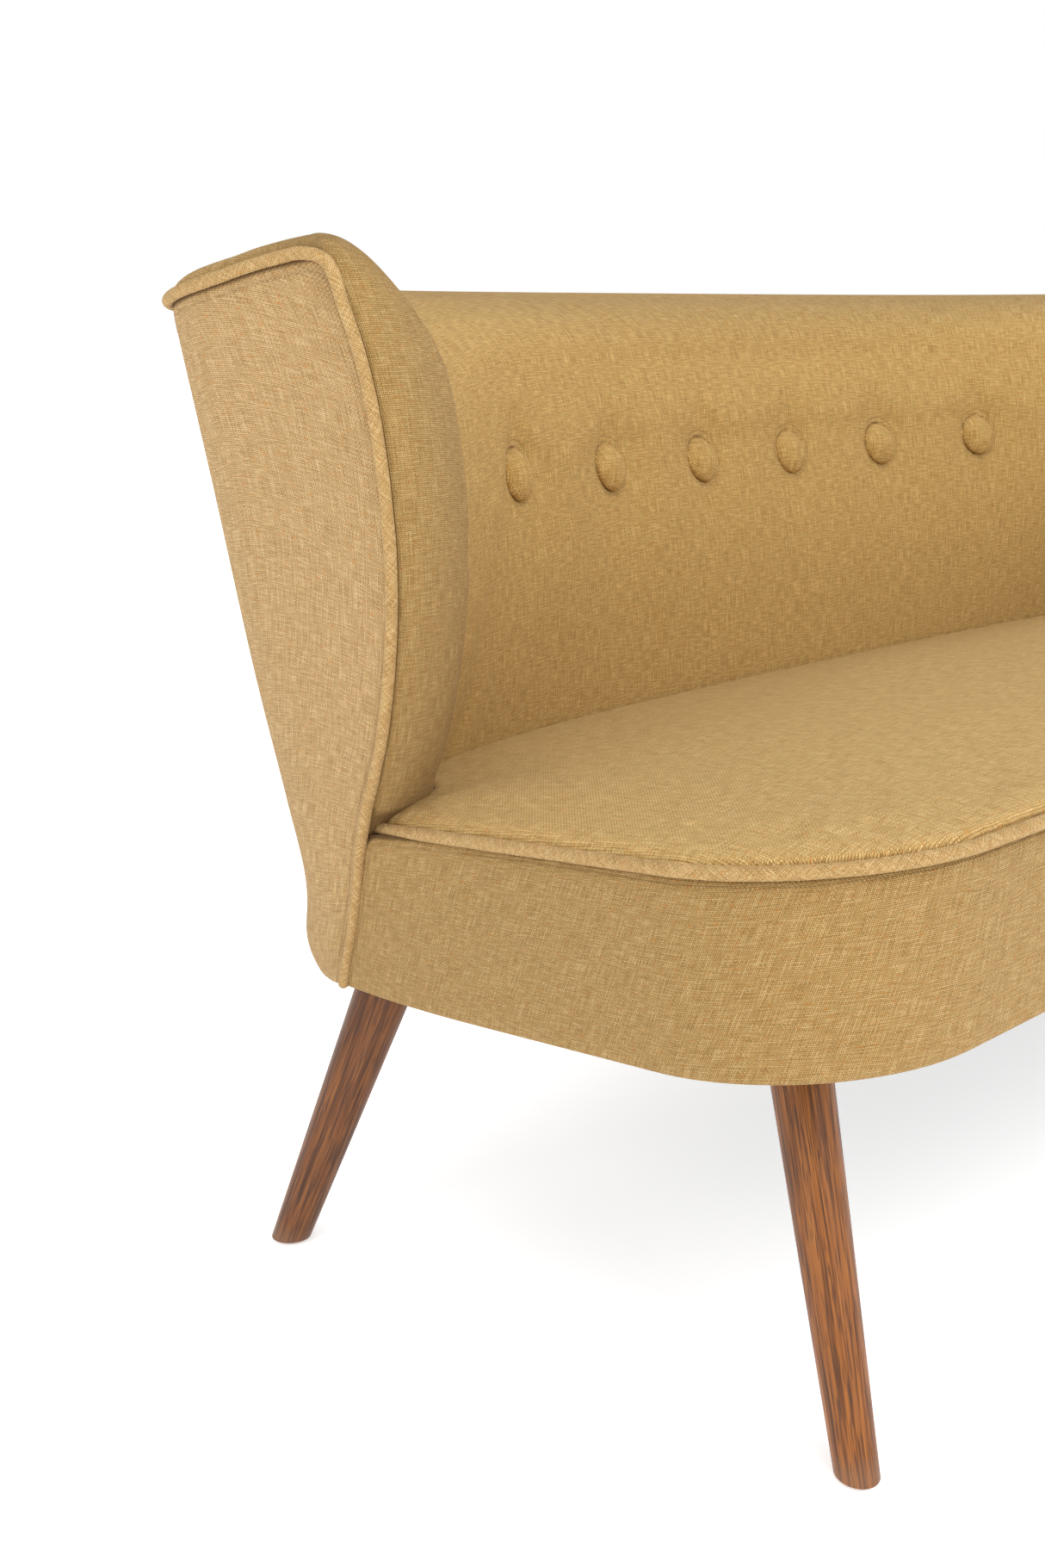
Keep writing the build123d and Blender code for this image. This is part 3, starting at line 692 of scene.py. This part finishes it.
def seat_pad():
    """The crowned seat, one cloth top over foam, sewn to the piping."""
    outline = plan_outline(PAD_INSET, WING_START + 4, 1200)
    corner = int(np.argmin(outline[:600, 0] + outline[:600, 1]))
    left = outline[:corner + 1][::-1]
    front = outline[corner:len(outline) - corner]
    right = outline[len(outline) - corner - 1:]
    touch = even_shares(INNER, BASE_HIGH, 300)
    level = settle_height(INNER, touch, base_level(BASE_HIGH + 6))
    against = on_section(INNER, level, touch) + (0, 2.5)
    against = against[against[:, 0] > left[-1, 0] + 2]
    rear_half = np.concatenate([left[-1:], against])
    rear = np.concatenate([rear_half, (rear_half * (-1, 1))[-2::-1]])
    plan = coons(along(front), along(rear), along(left), along(right), 96, 170)
    x, y = plan[..., 0], plan[..., 1]
    wall = distance_to(rear[::3], plan)
    wall[-1] = 0
    open_edge = distance_to(np.concatenate([front, left, right])[::6], plan)
    open_edge[0] = open_edge[:, 0] = open_edge[:, -1] = 0
    near = np.clip(open_edge / PAD_EDGE, 0, 1)
    rounded = np.sqrt(1 - (1 - near) ** 2)
    press = np.clip(wall / 16, 0, 1)
    rounded = rounded * (0.35 + 0.65 * np.sqrt(1 - (1 - press) ** 2))
    crown = np.clip(1 - (np.abs(x) / 760) ** 2.4, 0, 1)
    crown *= np.clip(1 - (np.abs(y + 12) / 330) ** 2.2, 0, 1)
    z = BASE_HIGH - y * SLOPE + 1.0 + PAD_RISE * rounded + PAD_CROWN * crown
    drift = 0.9 * slow_noise(x / 75, y / 75, 31) * near * press
    points = np.dstack([plan, z + drift])
    sewn = np.zeros(x.shape, bool)
    sewn[0] = sewn[-1] = True
    sewn[:, 0] = sewn[:, -1] = True
    tight = drawn_tight(points, upward(points), sewn, keep=0.02, limit=2.5)
    points[..., 2] += tight * near * press
    # painted shade: the seam distance darkens the cloth only along the back, where the seat meets
    # it
    return grid_object("seat_pad", points, plan * MM, np.where(wall < 7, wall, 30) * MM)


# ---- piping and buttons ----------------------------------
def rounded_path(knots, spacing):
    """Smooth path through knots, evenly stepped."""
    knots = np.asarray(knots, float)
    keys = arc(knots)
    fine = np.linspace(0, keys[-1], int(keys[-1] / spacing) + 1)
    return eased(fine, keys, knots)


def tube_object(name, path, radius, sides=12, wobble=0.0, seed=5):
    """A cloth-covered cord along a path in millimetres."""
    tangent = np.gradient(path, axis=0)
    tangent /= np.linalg.norm(tangent, axis=1, keepdims=True)
    side = np.cross(tangent[0], (0, 0, 1.0))
    if np.linalg.norm(side) < 0.2:
        side = np.cross(tangent[0], (0, 1.0, 0))
    rings = []
    length = arc(path)
    for i, (p, t) in enumerate(zip(path, tangent)):
        side = side - t * np.dot(side, t)
        side /= np.linalg.norm(side)
        other = np.cross(t, side)
        swell = radius * (1 + wobble * float(slow_noise(length[i] / 9, 0.0, seed)))
        turn = np.linspace(0, 2 * math.pi, sides, endpoint=False)
        rings.append(p + swell * (np.cos(turn)[:, None] * side + np.sin(turn)[:, None] * other))
    points = np.array(rings)
    rows = len(points)
    faces = grid_faces(rows, sides, wrap=True).tolist()
    flat = place(points).reshape(-1, 3)
    faces.append(list(range(sides))[::-1])
    faces.append([(rows - 1) * sides + k for k in range(sides)])
    girth = 2 * math.pi * radius * MM
    uv = np.empty((rows, sides, 2))
    uv[..., 0] = length[:, None] * MM
    uv[..., 1] = np.arange(sides) / sides * girth
    seam = np.full(rows * sides, NO_SEAM * MM)
    obj = mesh_object(name, flat, faces, uv.reshape(-1, 2), seam)
    # the last strip of faces closes the ring, so its cloth runs on to the full girth
    layer = obj.data.uv_layers["cloth"].data
    for row in range(rows - 1):
        for corner in obj.data.polygons[(row + 1) * sides - 1].loop_indices:
            if obj.data.loops[corner].vertex_index % sides == 0:
                layer[corner].uv[1] = girth
    return obj


def outer_at(z, s):
    """One plan point of the outer surface."""
    return on_section(OUTER, [z], [s])[0]


def back_piping():
    """Cord up one wing's edge, round the top seam and down the other."""
    low = settle_height(OUTER, [0.0], base_level(BASE_LOW))[0]
    high = settle_height(OUTER, [0.0], seam_level(0.0))[0]
    x, y = outer_at(low, 0.0)
    half = [(x + 15, y + 9, low + 6)]           # the lower end is tucked under the base
    for z in np.concatenate([[low + 4, low + 14], np.linspace(low + 40, high - 4, 18)]):
        x, y = outer_at(z, 0.0)
        half.append((x - 1.2, y - 0.6, z))
    for s in even_shares(OUTER, 720, 60)[1:]:
        z = settle_height(OUTER, [s], seam_level(s))[0]
        x, y = outer_at(z, s)
        run = outer_at(z, min(s + 0.01, 2)) - outer_at(z, max(s - 0.01, 0))
        run /= np.linalg.norm(run)
        half.append((x - run[1] * 1.2, y + run[0] * 1.2, z + 0.8))
    knots = half + [(-x, y, z) for x, y, z in half[-2::-1]]
    return tube_object("piping_back", rounded_path(knots, 5), PIPING_R, wobble=0.05)


def seat_piping():
    """Cord round the front of the seat, from wing to wing."""
    line = plan_outline(-0.5, WING_START + 9, 400)
    path = np.column_stack([line, BASE_HIGH - line[:, 1] * SLOPE])
    return tube_object("piping_seat", path, PIPING_R + 0.6, wobble=0.05, seed=9)


BUTTON_SINK = 7.0         # how deep the button sits in its dimple


def covered_button(number, centre, right, up, out):
    """A domed button wrapped in cloth, sunk in its dimple."""
    sides = 40
    profile = [(0, 9.0), (4, 8.8), (9, 8.0), (13.5, 6.5), (17, 4.6), (19.6, 2.4), (21.2, 0.3),
               (BUTTON_R, -2.0), (21.6, -4.4), (19.4, -6.2), (15, -7.2), (0, -7.5)]
    pick = np.random.default_rng(100 + number)
    lean = pick.uniform(-0.6, 0.6, 2)
    points = []
    uv = []
    seam = []
    for radius, height in profile:
        ring = sides if radius else 1
        for k in range(ring):
            turn = 2 * math.pi * k / sides
            fold = 1 + 0.012 * math.sin(turn * 9 + number) * (1 if radius > 18 else 0)
            a, b = radius * fold * math.cos(turn), radius * fold * math.sin(turn)
            h = height + (lean[0] * a + lean[1] * b) * 0.03
            points.append(tuple(centre + right * a + up * b + out * (h - BUTTON_SINK)))
            uv.append(((a + 90 * number) * MM, b * MM))
            # painted shade: the button's lower side, sunk in the dimple, takes the crease's dark
            # colour
            seam.append(0.05 if height > -3 else 0.0042)
    faces = []
    ring_start = [0]
    for radius, _ in profile[:-1]:
        ring_start.append(ring_start[-1] + (sides if radius else 1))
    for row in range(len(profile) - 1):
        a, b = ring_start[row], ring_start[row + 1]
        for k in range(sides):
            n = (k + 1) % sides
            if row == 0:
                faces.append((0, b + k, b + n))
            elif row == len(profile) - 2:
                faces.append((a + k, b, a + n))
            else:
                faces.append((a + k, b + k, b + n, a + n))
    return mesh_object("covered_button_%d" % number, place(points), faces, uv, seam)


# ---- materials -------------------------------------------
class Shader:
    """A node material in the making: every call adds one node and returns its output."""

    def __init__(self, name):
        self.material = bpy.data.materials.new(name)
        self.material.use_nodes = True
        self.tree = self.material.node_tree
        self.surface = self.tree.nodes["Principled BSDF"]

    def node(self, kind, **settings):
        made = self.tree.nodes.new(kind)
        for key, value in settings.items():
            setattr(made, key, value)
        return made

    def feed(self, socket, value):
        if isinstance(value, bpy.types.NodeSocket):
            self.tree.links.new(value, socket)
        else:
            socket.default_value = value

    def math(self, operation, a, b=0.0):
        made = self.node("ShaderNodeMath", operation=operation)
        self.feed(made.inputs[0], a)
        self.feed(made.inputs[1], b)
        return made.outputs[0]

    def noise(self, vector, scale, detail=2.0, roughness=0.5, distortion=0.0):
        made = self.node("ShaderNodeTexNoise")
        self.feed(made.inputs["Vector"], vector)
        made.inputs["Scale"].default_value = scale
        made.inputs["Detail"].default_value = detail
        made.inputs["Roughness"].default_value = roughness
        made.inputs["Distortion"].default_value = distortion
        return made.outputs["Fac"]

    def in_object(self):
        """Where a point lies in its object, in metres."""
        return self.node("ShaderNodeTexCoord").outputs["Object"]

    def point_value(self, name):
        return self.node("ShaderNodeAttribute", attribute_name=name).outputs["Fac"]

    def coordinates(self, vector):
        made = self.node("ShaderNodeSeparateXYZ")
        self.feed(made.inputs[0], vector)
        return made.outputs

    def either(self, factor, a, b):
        made = self.node("ShaderNodeMix", data_type="FLOAT")
        for socket, value in ((0, factor), (2, a), (3, b)):
            self.feed(made.inputs[socket], value)
        return made.outputs[0]

    def stretched(self, vector, scale, rotation=(0, 0, 0), location=(0, 0, 0)):
        made = self.node("ShaderNodeMapping")
        self.feed(made.inputs["Vector"], vector)
        made.inputs["Scale"].default_value = scale
        made.inputs["Rotation"].default_value = rotation
        made.inputs["Location"].default_value = location
        return made.outputs[0]

    def ramp(self, value, stops):
        made = self.node("ShaderNodeValToRGB")
        self.feed(made.inputs[0], value)
        points = made.color_ramp.elements
        while len(points) < len(stops):
            points.new(0.5)
        for point, (position, colour) in zip(points, stops):
            point.position = position
            point.color = (*colour, 1)
        return made.outputs[0]

    def grey_ramp(self, value, low, high, dark=0.0, bright=1.0):
        made = self.node("ShaderNodeMapRange")
        self.feed(made.inputs[0], value)
        for socket, number in zip(made.inputs[1:5], (low, high, dark, bright)):
            socket.default_value = number
        return made.outputs[0]

    def mix(self, factor, a, b, blend="MIX"):
        made = self.node("ShaderNodeMix", data_type="RGBA", blend_type=blend)
        self.feed(made.inputs[0], factor)
        for socket, value in ((made.inputs[6], a), (made.inputs[7], b)):
            self.feed(socket, (*value, 1) if isinstance(value, tuple) else value)
        return made.outputs[2]

    def bump(self, height, strength, distance):
        made = self.node("ShaderNodeBump")
        made.inputs["Strength"].default_value = strength
        made.inputs["Distance"].default_value = distance
        self.feed(made.inputs["Height"], height)
        return made.outputs[0]

    def done(self, colour, roughness, normal=None, **sockets):
        self.feed(self.surface.inputs["Base Color"], colour)
        self.feed(self.surface.inputs["Roughness"], roughness)
        if normal is not None:
            self.feed(self.surface.inputs["Normal"], normal)
        for key, value in sockets.items():
            self.surface.inputs[key.replace("_", " ")].default_value = value
        return self.material


YARN = 0.0013             # width of one yarn, in metres


def scaled(colour, *factors):
    """A colour times one factor, or times one factor for each of its channels."""
    return tuple(c * k for c, k in zip(colour, factors if len(factors) > 1 else factors * 3))


def linen(name, base, turn=0.0, depth=1.0, deep=None):
    """Slubby plain weave: crossing yarns, long pale slubs, painted shade in the gaps and a few rust
    flecks.
    """
    m = Shader(name)
    uv = m.node("ShaderNodeUVMap", uv_map="cloth").outputs[0]
    if turn:
        uv = m.stretched(uv, (1, 1, 1), (0, 0, turn))
    across, up, _ = m.coordinates(uv)
    # hand-spun unevenness bends the yarns a little
    drift = m.noise(m.stretched(uv, (60, 60, 1)), 1.0, 2.0)
    shift = m.math("MULTIPLY", m.math("SUBTRACT", drift, 0.5), 0.0012)
    warp, weft = (
        m.math("SINE", m.math("MULTIPLY", m.math("ADD", way, shift), math.pi / YARN))
        for way in (across, up)
    )
    over = m.math("GREATER_THAN", m.math("MULTIPLY", warp, weft), 0.0)
    upright = m.stretched(uv, (1 / (YARN * 1.05), 1 / 0.020, 1))
    level = m.stretched(uv, (1 / 0.014, 1 / (YARN * 1.05), 1), location=(7.3, 2.1, 0))
    slub_warp = m.noise(upright, 1.0, 1.5, 0.55)
    slub_weft = m.noise(level, 1.0, 1.5, 0.55)
    height = m.either(over, *(
        m.math("MULTIPLY", m.math("ABSOLUTE", yarn), m.grey_ramp(slub, 0.25, 0.8, 0.55, 1.35))
        for yarn, slub in ((weft, slub_weft), (warp, slub_warp))
    ))
    tone = m.either(over, slub_weft, slub_warp)
    both = m.math("ADD", slub_warp, slub_weft)
    dark = scaled(base, 0.70, 0.65, 0.56)
    pale = tuple(c + a for c, a in zip(scaled(base, 1.25, 1.30, 1.36), (0.03, 0.034, 0.034)))
    colour = m.ramp(tone, [(0.36, dark), (0.46, base), (0.54, base), (0.63, pale)])
    streak = m.grey_ramp(both, 1.08, 1.26, 0.0, 0.75)
    colour = m.mix(streak, colour, pale)
    # painted shade in the gaps between the yarns
    gap_shade = m.grey_ramp(height, 0.05, 0.6, 0.95 * depth, 0.0)
    colour = m.mix(gap_shade, colour, scaled(base, 0.42, 0.33, 0.20))
    # rust and ochre flecks spun into the yarn
    fleck = m.noise(m.stretched(uv, (1 / 0.0055, 1 / 0.0024, 1), location=(3, 9, 0)), 1.0, 1.0)
    rust = scaled(base, 0.92, 0.66, 0.42)
    colour = m.mix(m.grey_ramp(fleck, 0.62, 0.70, 0.0, 0.7), colour, rust)
    # slow patches of a different dye take-up
    patch = m.noise(uv, 9.0, 3.0)
    colour = m.mix(m.grey_ramp(patch, 0.3, 0.7, 0.10, 0.0), colour, scaled(base, 0.72))
    # painted shade on the wings' noses and the back's crown
    if deep:
        colour = m.mix(m.point_value("nose_and_crown_shade"), colour, deep, "MULTIPLY")
    # painted shade beside the seams, where the cloth turns in, and a painted shade line along the
    # edge of the seam allowance, whose ridge the bump also raises
    seam = m.point_value("seam")
    crease_shade = m.grey_ramp(seam, 0.0032, 0.0056, 0.9, 0.0)
    colour = m.mix(crease_shade, colour, scaled(base, 0.28, 0.22, 0.15))
    hem_ridge_and_shade = m.math("SUBTRACT", m.grey_ramp(seam, 0.0075, 0.0088), m.grey_ramp(seam, 0.0092, 0.0105))
    colour = m.mix(m.math("MULTIPLY", hem_ridge_and_shade, 0.22), colour, scaled(base, 0.5))
    fuzz = m.noise(m.stretched(uv, (1500, 1500, 1)), 1.0, 2.0)
    relief = m.math("ADD", height, m.math("MULTIPLY", fuzz, 0.35))
    relief = m.math("SUBTRACT", relief, m.math("MULTIPLY", hem_ridge_and_shade, 1.2))
    normal = m.bump(relief, 0.8 * depth, 0.0009)
    rough = m.grey_ramp(height, 0.0, 1.0, 0.95, 0.78)
    return m.done(colour, rough, normal,
                  Sheen_Weight=0.06, Sheen_Roughness=0.5, Specular_IOR_Level=0.16)


def walnut(name, foot, top, stain):
    """Straight-grained stained wood whose grain follows one leg, worn paler at the foot's rim."""
    m = Shader(name)
    where = m.in_object()
    axis = (top - foot).normalized()
    turn = axis.rotation_difference(Vector((0, 0, 1)))
    moved = turn @ foot
    local = m.stretched(where, (1, 1, 1), turn.to_euler(), (-moved.x, -moved.y, -moved.z))
    fibre = m.noise(m.stretched(local, (620, 620, 9)), 1.0, 3.0, 0.6)
    pores = m.noise(m.stretched(local, (900, 900, 34)), 1.0, 1.0, 0.5)
    rings = m.noise(m.stretched(local, (75, 75, 3.2)), 1.0, 3.0, 0.6, 0.6)
    band = m.math("SINE", m.math("MULTIPLY", rings, 34.0))
    tone = m.math("ADD", m.math("MULTIPLY", band, 0.13), m.math("MULTIPLY", fibre, 0.85))
    tones = ((0.18, (0.075, 0.026, 0.010)), (0.42, (0.215, 0.078, 0.028)),
             (0.62, (0.315, 0.122, 0.046)), (0.85, (0.43, 0.19, 0.078)))
    # the stain factors carry the rear legs' painted shade
    colour = m.ramp(tone, [(at, scaled(shade, *stain)) for at, shade in tones])
    dark_pore = m.grey_ramp(pores, 0.34, 0.44, 0.75, 0.0)
    colour = m.mix(dark_pore, colour, (0.055, 0.023, 0.013))
    foot_wear = m.grey_ramp(m.coordinates(local)[2], 0.002, 0.016, 0.30, 0.0)
    colour = m.mix(foot_wear, colour, (0.30, 0.17, 0.10))
    relief = m.math("SUBTRACT", m.math("MULTIPLY", fibre, 0.6), dark_pore)
    normal = m.bump(relief, 0.35, 0.0004)
    rough = m.grey_ramp(fibre, 0.3, 0.7, 0.50, 0.36)
    return m.done(colour, rough, normal,
                  Coat_Weight=0.05, Coat_Roughness=0.35, Specular_IOR_Level=0.35)


def plywood(name):
    """Raw plywood: pale face grain with dark glue lines through its thickness."""
    m = Shader(name)
    where = m.in_object()
    grain = m.noise(m.stretched(where, (9, 160, 160)), 1.0, 4.0, 0.6, 0.4)
    plies = m.node("ShaderNodeTexWave", wave_type="BANDS", bands_direction="Z")
    m.feed(plies.inputs["Vector"], where)
    plies.inputs["Scale"].default_value = 110
    plies.inputs["Distortion"].default_value = 0.6
    colour = m.ramp(grain, [
        (0.3, (0.46, 0.31, 0.17)), (0.55, (0.62, 0.46, 0.28)), (0.75, (0.72, 0.57, 0.38)),
    ])
    colour = m.mix(m.math("MULTIPLY", plies.outputs["Fac"], 0.35), colour, (0.33, 0.2, 0.1))
    return m.done(colour, m.grey_ramp(grain, 0.3, 0.7, 0.8, 0.65), m.bump(grain, 0.3, 0.0006))


def pressed_board(name):
    """Thin brown fibre board."""
    m = Shader(name)
    where = m.in_object()
    fibre = m.noise(m.stretched(where, (300, 300, 300)), 1.0, 4.0, 0.7)
    colour = m.ramp(fibre, [
        (0.35, (0.11, 0.06, 0.03)), (0.6, (0.22, 0.13, 0.07)), (0.8, (0.32, 0.2, 0.11)),
    ])
    return m.done(colour, m.grey_ramp(fibre, 0.3, 0.7, 0.75, 0.55), m.bump(fibre, 0.3, 0.0004))


def foam(name):
    """Open-cell foam: pale cream with small pits, darkened with painted shade."""
    m = Shader(name)
    where = m.in_object()
    cells = m.node("ShaderNodeTexVoronoi")
    m.feed(cells.inputs["Vector"], where)
    cells.inputs["Scale"].default_value = 700
    pit = m.grey_ramp(cells.outputs["Distance"], 0.0, 0.5, 0.0, 1.0)
    yellowing = m.noise(where, 6.0, 3.0)
    colour = m.mix(m.grey_ramp(yellowing, 0.3, 0.7), (0.86, 0.80, 0.58), (0.92, 0.88, 0.72))
    # painted shade in the pits
    pit_shade = m.math("MULTIPLY", m.math("SUBTRACT", 1.0, pit), 0.35)
    colour = m.mix(pit_shade, colour, (0.55, 0.48, 0.3))
    return m.done(colour, m.grey_ramp(pit, 0.0, 1.0, 1.0, 0.85), m.bump(pit, 0.5, 0.0008))


def felted(name, low, high):
    """Thin non-woven cloth, pressed from fibres."""
    m = Shader(name)
    where = m.in_object()
    fibre = m.noise(m.stretched(where, (900, 900, 900)), 1.0, 3.0, 0.7)
    cloud = m.noise(where, 22.0, 4.0)
    colour = m.mix(m.grey_ramp(cloud, 0.3, 0.7), low, high)
    colour = m.mix(m.grey_ramp(fibre, 0.5, 0.7, 0.0, 0.4), colour, scaled(high, 2.0))
    return m.done(colour, m.grey_ramp(fibre, 0.3, 0.7, 1.0, 0.8), m.bump(fibre, 0.4, 0.0004))


JUTE_YARN = 0.0025


def strap_weave(name):
    """Jute webbing with coarse crossing yarns."""
    m = Shader(name)
    where = m.in_object()
    rate = math.pi / JUTE_YARN
    ridges = [
        m.math("ABSOLUTE", m.math("SINE", m.math("MULTIPLY", way, rate)))
        for way in m.coordinates(where)
    ]
    weave = m.math("MULTIPLY", m.math("ADD", ridges[0], ridges[2]), m.math("ADD", ridges[1], 0.4))
    fuzz = m.noise(m.stretched(where, (420, 420, 420)), 1.0, 3.0)
    colour = m.ramp(fuzz, [
        (0.3, (0.30, 0.19, 0.09)), (0.55, (0.46, 0.33, 0.17)), (0.8, (0.6, 0.46, 0.27)),
    ])
    return m.done(colour, m.grey_ramp(fuzz, 0.3, 0.7, 0.95, 0.8), m.bump(weave, 0.5, 0.0008))


def zinc_steel(name):
    """Zinc-plated steel with fine brushing and dull spots."""
    m = Shader(name)
    where = m.in_object()
    brush = m.noise(m.stretched(where, (60, 900, 900)), 1.0, 3.0)
    spots = m.noise(where, 90.0, 4.0)
    colour = m.mix(m.grey_ramp(spots, 0.4, 0.65), (0.52, 0.53, 0.55), (0.66, 0.66, 0.64))
    dulled = m.grey_ramp(spots, 0.5, 0.7, 0.0, 0.12)
    rough = m.math("ADD", m.grey_ramp(brush, 0.3, 0.7, 0.28, 0.42), dulled)
    return m.done(colour, rough, m.bump(brush, 0.12, 0.0002), Metallic=1.0)


def moulded(name, low, high):
    """Moulded plastic with a fine spark-eroded texture."""
    m = Shader(name)
    where = m.in_object()
    grit = m.noise(where, 1400.0, 2.0)
    cloud = m.noise(where, 35.0, 2.0)
    colour = m.mix(m.grey_ramp(cloud, 0.35, 0.65), low, high)
    return m.done(colour, m.grey_ramp(grit, 0.3, 0.7, 0.42, 0.58), m.bump(grit, 0.2, 0.0002))


# ---- build -----------------------------------------------
# one khaki linen in copies of different brightness: the seat's and the outer panel's are lighter,
# painted light, the apron's is darker, painted shade
KHAKI = (0.630, 0.402, 0.130)            # padded inner back
KHAKI_SEAT_LIT = (0.660, 0.434, 0.162)
KHAKI_APRON_SHADED = (0.490, 0.306, 0.107)
KHAKI_MID = (0.540, 0.348, 0.140)        # piping
KHAKI_OUTER_LIT = (0.600, 0.392, 0.172)       # painted light: the outer panel's copy is paler
# the rear legs' factors are darker than the front legs': the same stain with painted shade
LEG_STAIN_AND_SHADE = {"front": (1.10, 0.97, 0.48), "rear": (0.70, 0.62, 0.37)}

# lit and shaded copies of the one linen: painted light and shade
cloth_outer = linen("linen_outer_lit", KHAKI_OUTER_LIT)
# the inner back's copy paints shade on its noses and crown
cloth_inner = linen("linen_inner", KHAKI, deep=(0.78, 0.77, 0.82))
cloth_seat = linen("linen_seat_lit", KHAKI_SEAT_LIT)
cloth_apron = linen("linen_apron_shaded", KHAKI_APRON_SHADED)
cloth_piping = linen("linen_piping", KHAKI_MID, turn=math.radians(45), depth=0.8)
cloth_button = linen("linen_button", KHAKI, turn=math.radians(8))

panel = thickened(outer_panel())
back = thickened(back_upholstery(), levels=0)
band = thickened(apron())
pad = thickened(seat_pad())
cord_back = back_piping()
cord_seat = seat_piping()
buttons = [covered_button(n, *f) for n, f in enumerate(BUTTONS, start=1)]

for piece, material, slot_name, stands_for in (
    (panel, cloth_outer, "outer_fabric", ("outer_back_cover",)),
    (back, cloth_inner, "inner_fabric", ("inner_back_cover", "back_foam")),
    (band, cloth_apron, "outer_fabric", ("apron_cover", "apron_foam")),
    (pad, cloth_seat, "inner_fabric", ("seat_cover", "seat_foam")),
    (cord_back, cloth_piping, "piping_fabric", ("back_piping",)),
    (cord_seat, cloth_piping, "piping_fabric", ("seat_piping",)),
):
    piece.data.materials.append(material)
    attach(piece, "root")
    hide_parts(*stands_for)
for number, piece in enumerate(buttons, start=1):
    piece.data.materials.append(cloth_button)
    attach(piece, "root")
    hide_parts("button_%d" % number)

finishes = {
    "frame_ply": plywood("raw_plywood"),
    "hardboard": pressed_board("pressed_board"),
    "foam": foam("cream_foam"),
    "lining_cloth": felted("black_lining", (0.012, 0.012, 0.013), (0.03, 0.03, 0.032)),
    "webbing": strap_weave("jute_webbing"),
    "steel": zinc_steel("zinc_steel"),
    "anchor_plastic": moulded("anchor_plastic", (0.03, 0.03, 0.03), (0.05, 0.05, 0.05)),
    "glide_nylon": moulded("glide_nylon", (0.045, 0.03, 0.02), (0.07, 0.05, 0.035)),
    "outer_fabric": cloth_outer,
    "inner_fabric": cloth_inner,
    "piping_fabric": cloth_piping,
    "button_fabric": cloth_button,
}
for part in frame["record"]["subparts"]:
    name, slot_name = part["node"], part["material_slot"]
    if slot_name in finishes:
        for holder in NODES[name].material_slots:
            holder.material = finishes[slot_name]

for end, (top_x, top_y, foot_x, foot_y) in LEGS.items():
    for side, sign in (("left", 1), ("right", -1)):
        foot = Vector(place([sign * foot_x, foot_y, 0]))
        top = Vector(place([sign * top_x, top_y, BASE_LOW - top_y * SLOPE]))
        leg = NODES["leg_%s_%s" % (end, side)]
        leg.material_slots[0].material = walnut("walnut_%s_%s" % (end, side), foot, top, LEG_STAIN_AND_SHADE[end])
        soft_edge = leg.modifiers.new("worn edge", "BEVEL")
        soft_edge.width = 0.0022
        soft_edge.segments = 3
        soft_edge.limit_method = "ANGLE"
        soft_edge.angle_limit = math.radians(50)

# ---- floor, light and camera -----------------------------
floor_mesh = bpy.data.meshes.new("floor")
corners = ((-1, -1), (1, -1), (1, 1), (-1, 1))
floor_mesh.from_pydata([(40 * x, 40 * y, 0) for x, y in corners], [], [(0, 1, 2, 3)])
floor = added("floor", floor_mesh)
floor_shade = Shader("pale_floor")
clouds = floor_shade.noise(floor_shade.in_object(), 1.3, 2.0)
paint = floor_shade.mix(
    floor_shade.grey_ramp(clouds, 0.3, 0.7), (0.93, 0.93, 0.93), (0.95, 0.95, 0.95)
)
floor_mesh.materials.append(
    floor_shade.done(paint, 0.7, Emission_Color=(1, 1, 1, 1), Emission_Strength=0.5)
)

# the sky lights the sofa a little less than the white backdrop that is seen
world = bpy.data.worlds.new("studio")
bpy.context.scene.world = world
world.use_nodes = True
tree = world.node_tree
choose = tree.nodes.new("ShaderNodeMixShader")
seen = tree.nodes.new("ShaderNodeLightPath").outputs["Is Camera Ray"]
tree.links.new(seen, choose.inputs[0])
sky, backdrop = tree.nodes["Background"], tree.nodes.new("ShaderNodeBackground")
for source, strength, socket in ((sky, 0.86, 1), (backdrop, 1.0, 2)):
    source.inputs[0].default_value = (1, 1, 1, 1)
    source.inputs[1].default_value = strength
    tree.links.new(source.outputs[0], choose.inputs[socket])
tree.links.new(choose.outputs[0], tree.nodes["World Output"].inputs["Surface"])


def soft_light(name, location, target, size, power):
    """A large square lamp aimed at a point."""
    lamp = bpy.data.lights.new(name, "AREA")
    lamp.shape = "SQUARE"
    lamp.size = size
    lamp.energy = power
    holder = added(name, lamp)
    holder.location = location
    aim = Vector(target) - Vector(location)
    holder.rotation_euler = aim.to_track_quat("-Z", "Y").to_euler()


soft_light("key", (-3.4, -0.1, 1.7), (-0.3, 0, 0.5), 1.4, 15)
soft_light("front", (-0.5, -2.3, 2.0), (-0.1, 0, 0.5), 1.8, 24)
sun = bpy.data.lights.new("even_floor", "SUN")
sun.energy = 0.7
sun.angle = math.radians(60)
added("even_floor", sun).rotation_euler = (math.radians(24), 0, math.radians(-15))

# sensor 36 mm wide; the focal length and pose are those of the studio picture
FOCAL_IN_FRAME, FRAME_HEIGHT = 2100.2, 1821
camera_data = bpy.data.cameras.new("camera")
camera_data.sensor_fit = "AUTO"
camera_data.sensor_width = 36
camera_data.lens = FOCAL_IN_FRAME * 36 / FRAME_HEIGHT
camera_data.clip_end = 60
camera = added("camera", camera_data)
camera.location = (-1.51088, -0.83552 + SHIFT_Y, 0.72016)
camera.rotation_euler = (math.pi / 2 - 0.259, 0, -0.775)
bpy.context.scene.camera = camera
bpy.context.scene.view_settings.view_transform = "Standard"
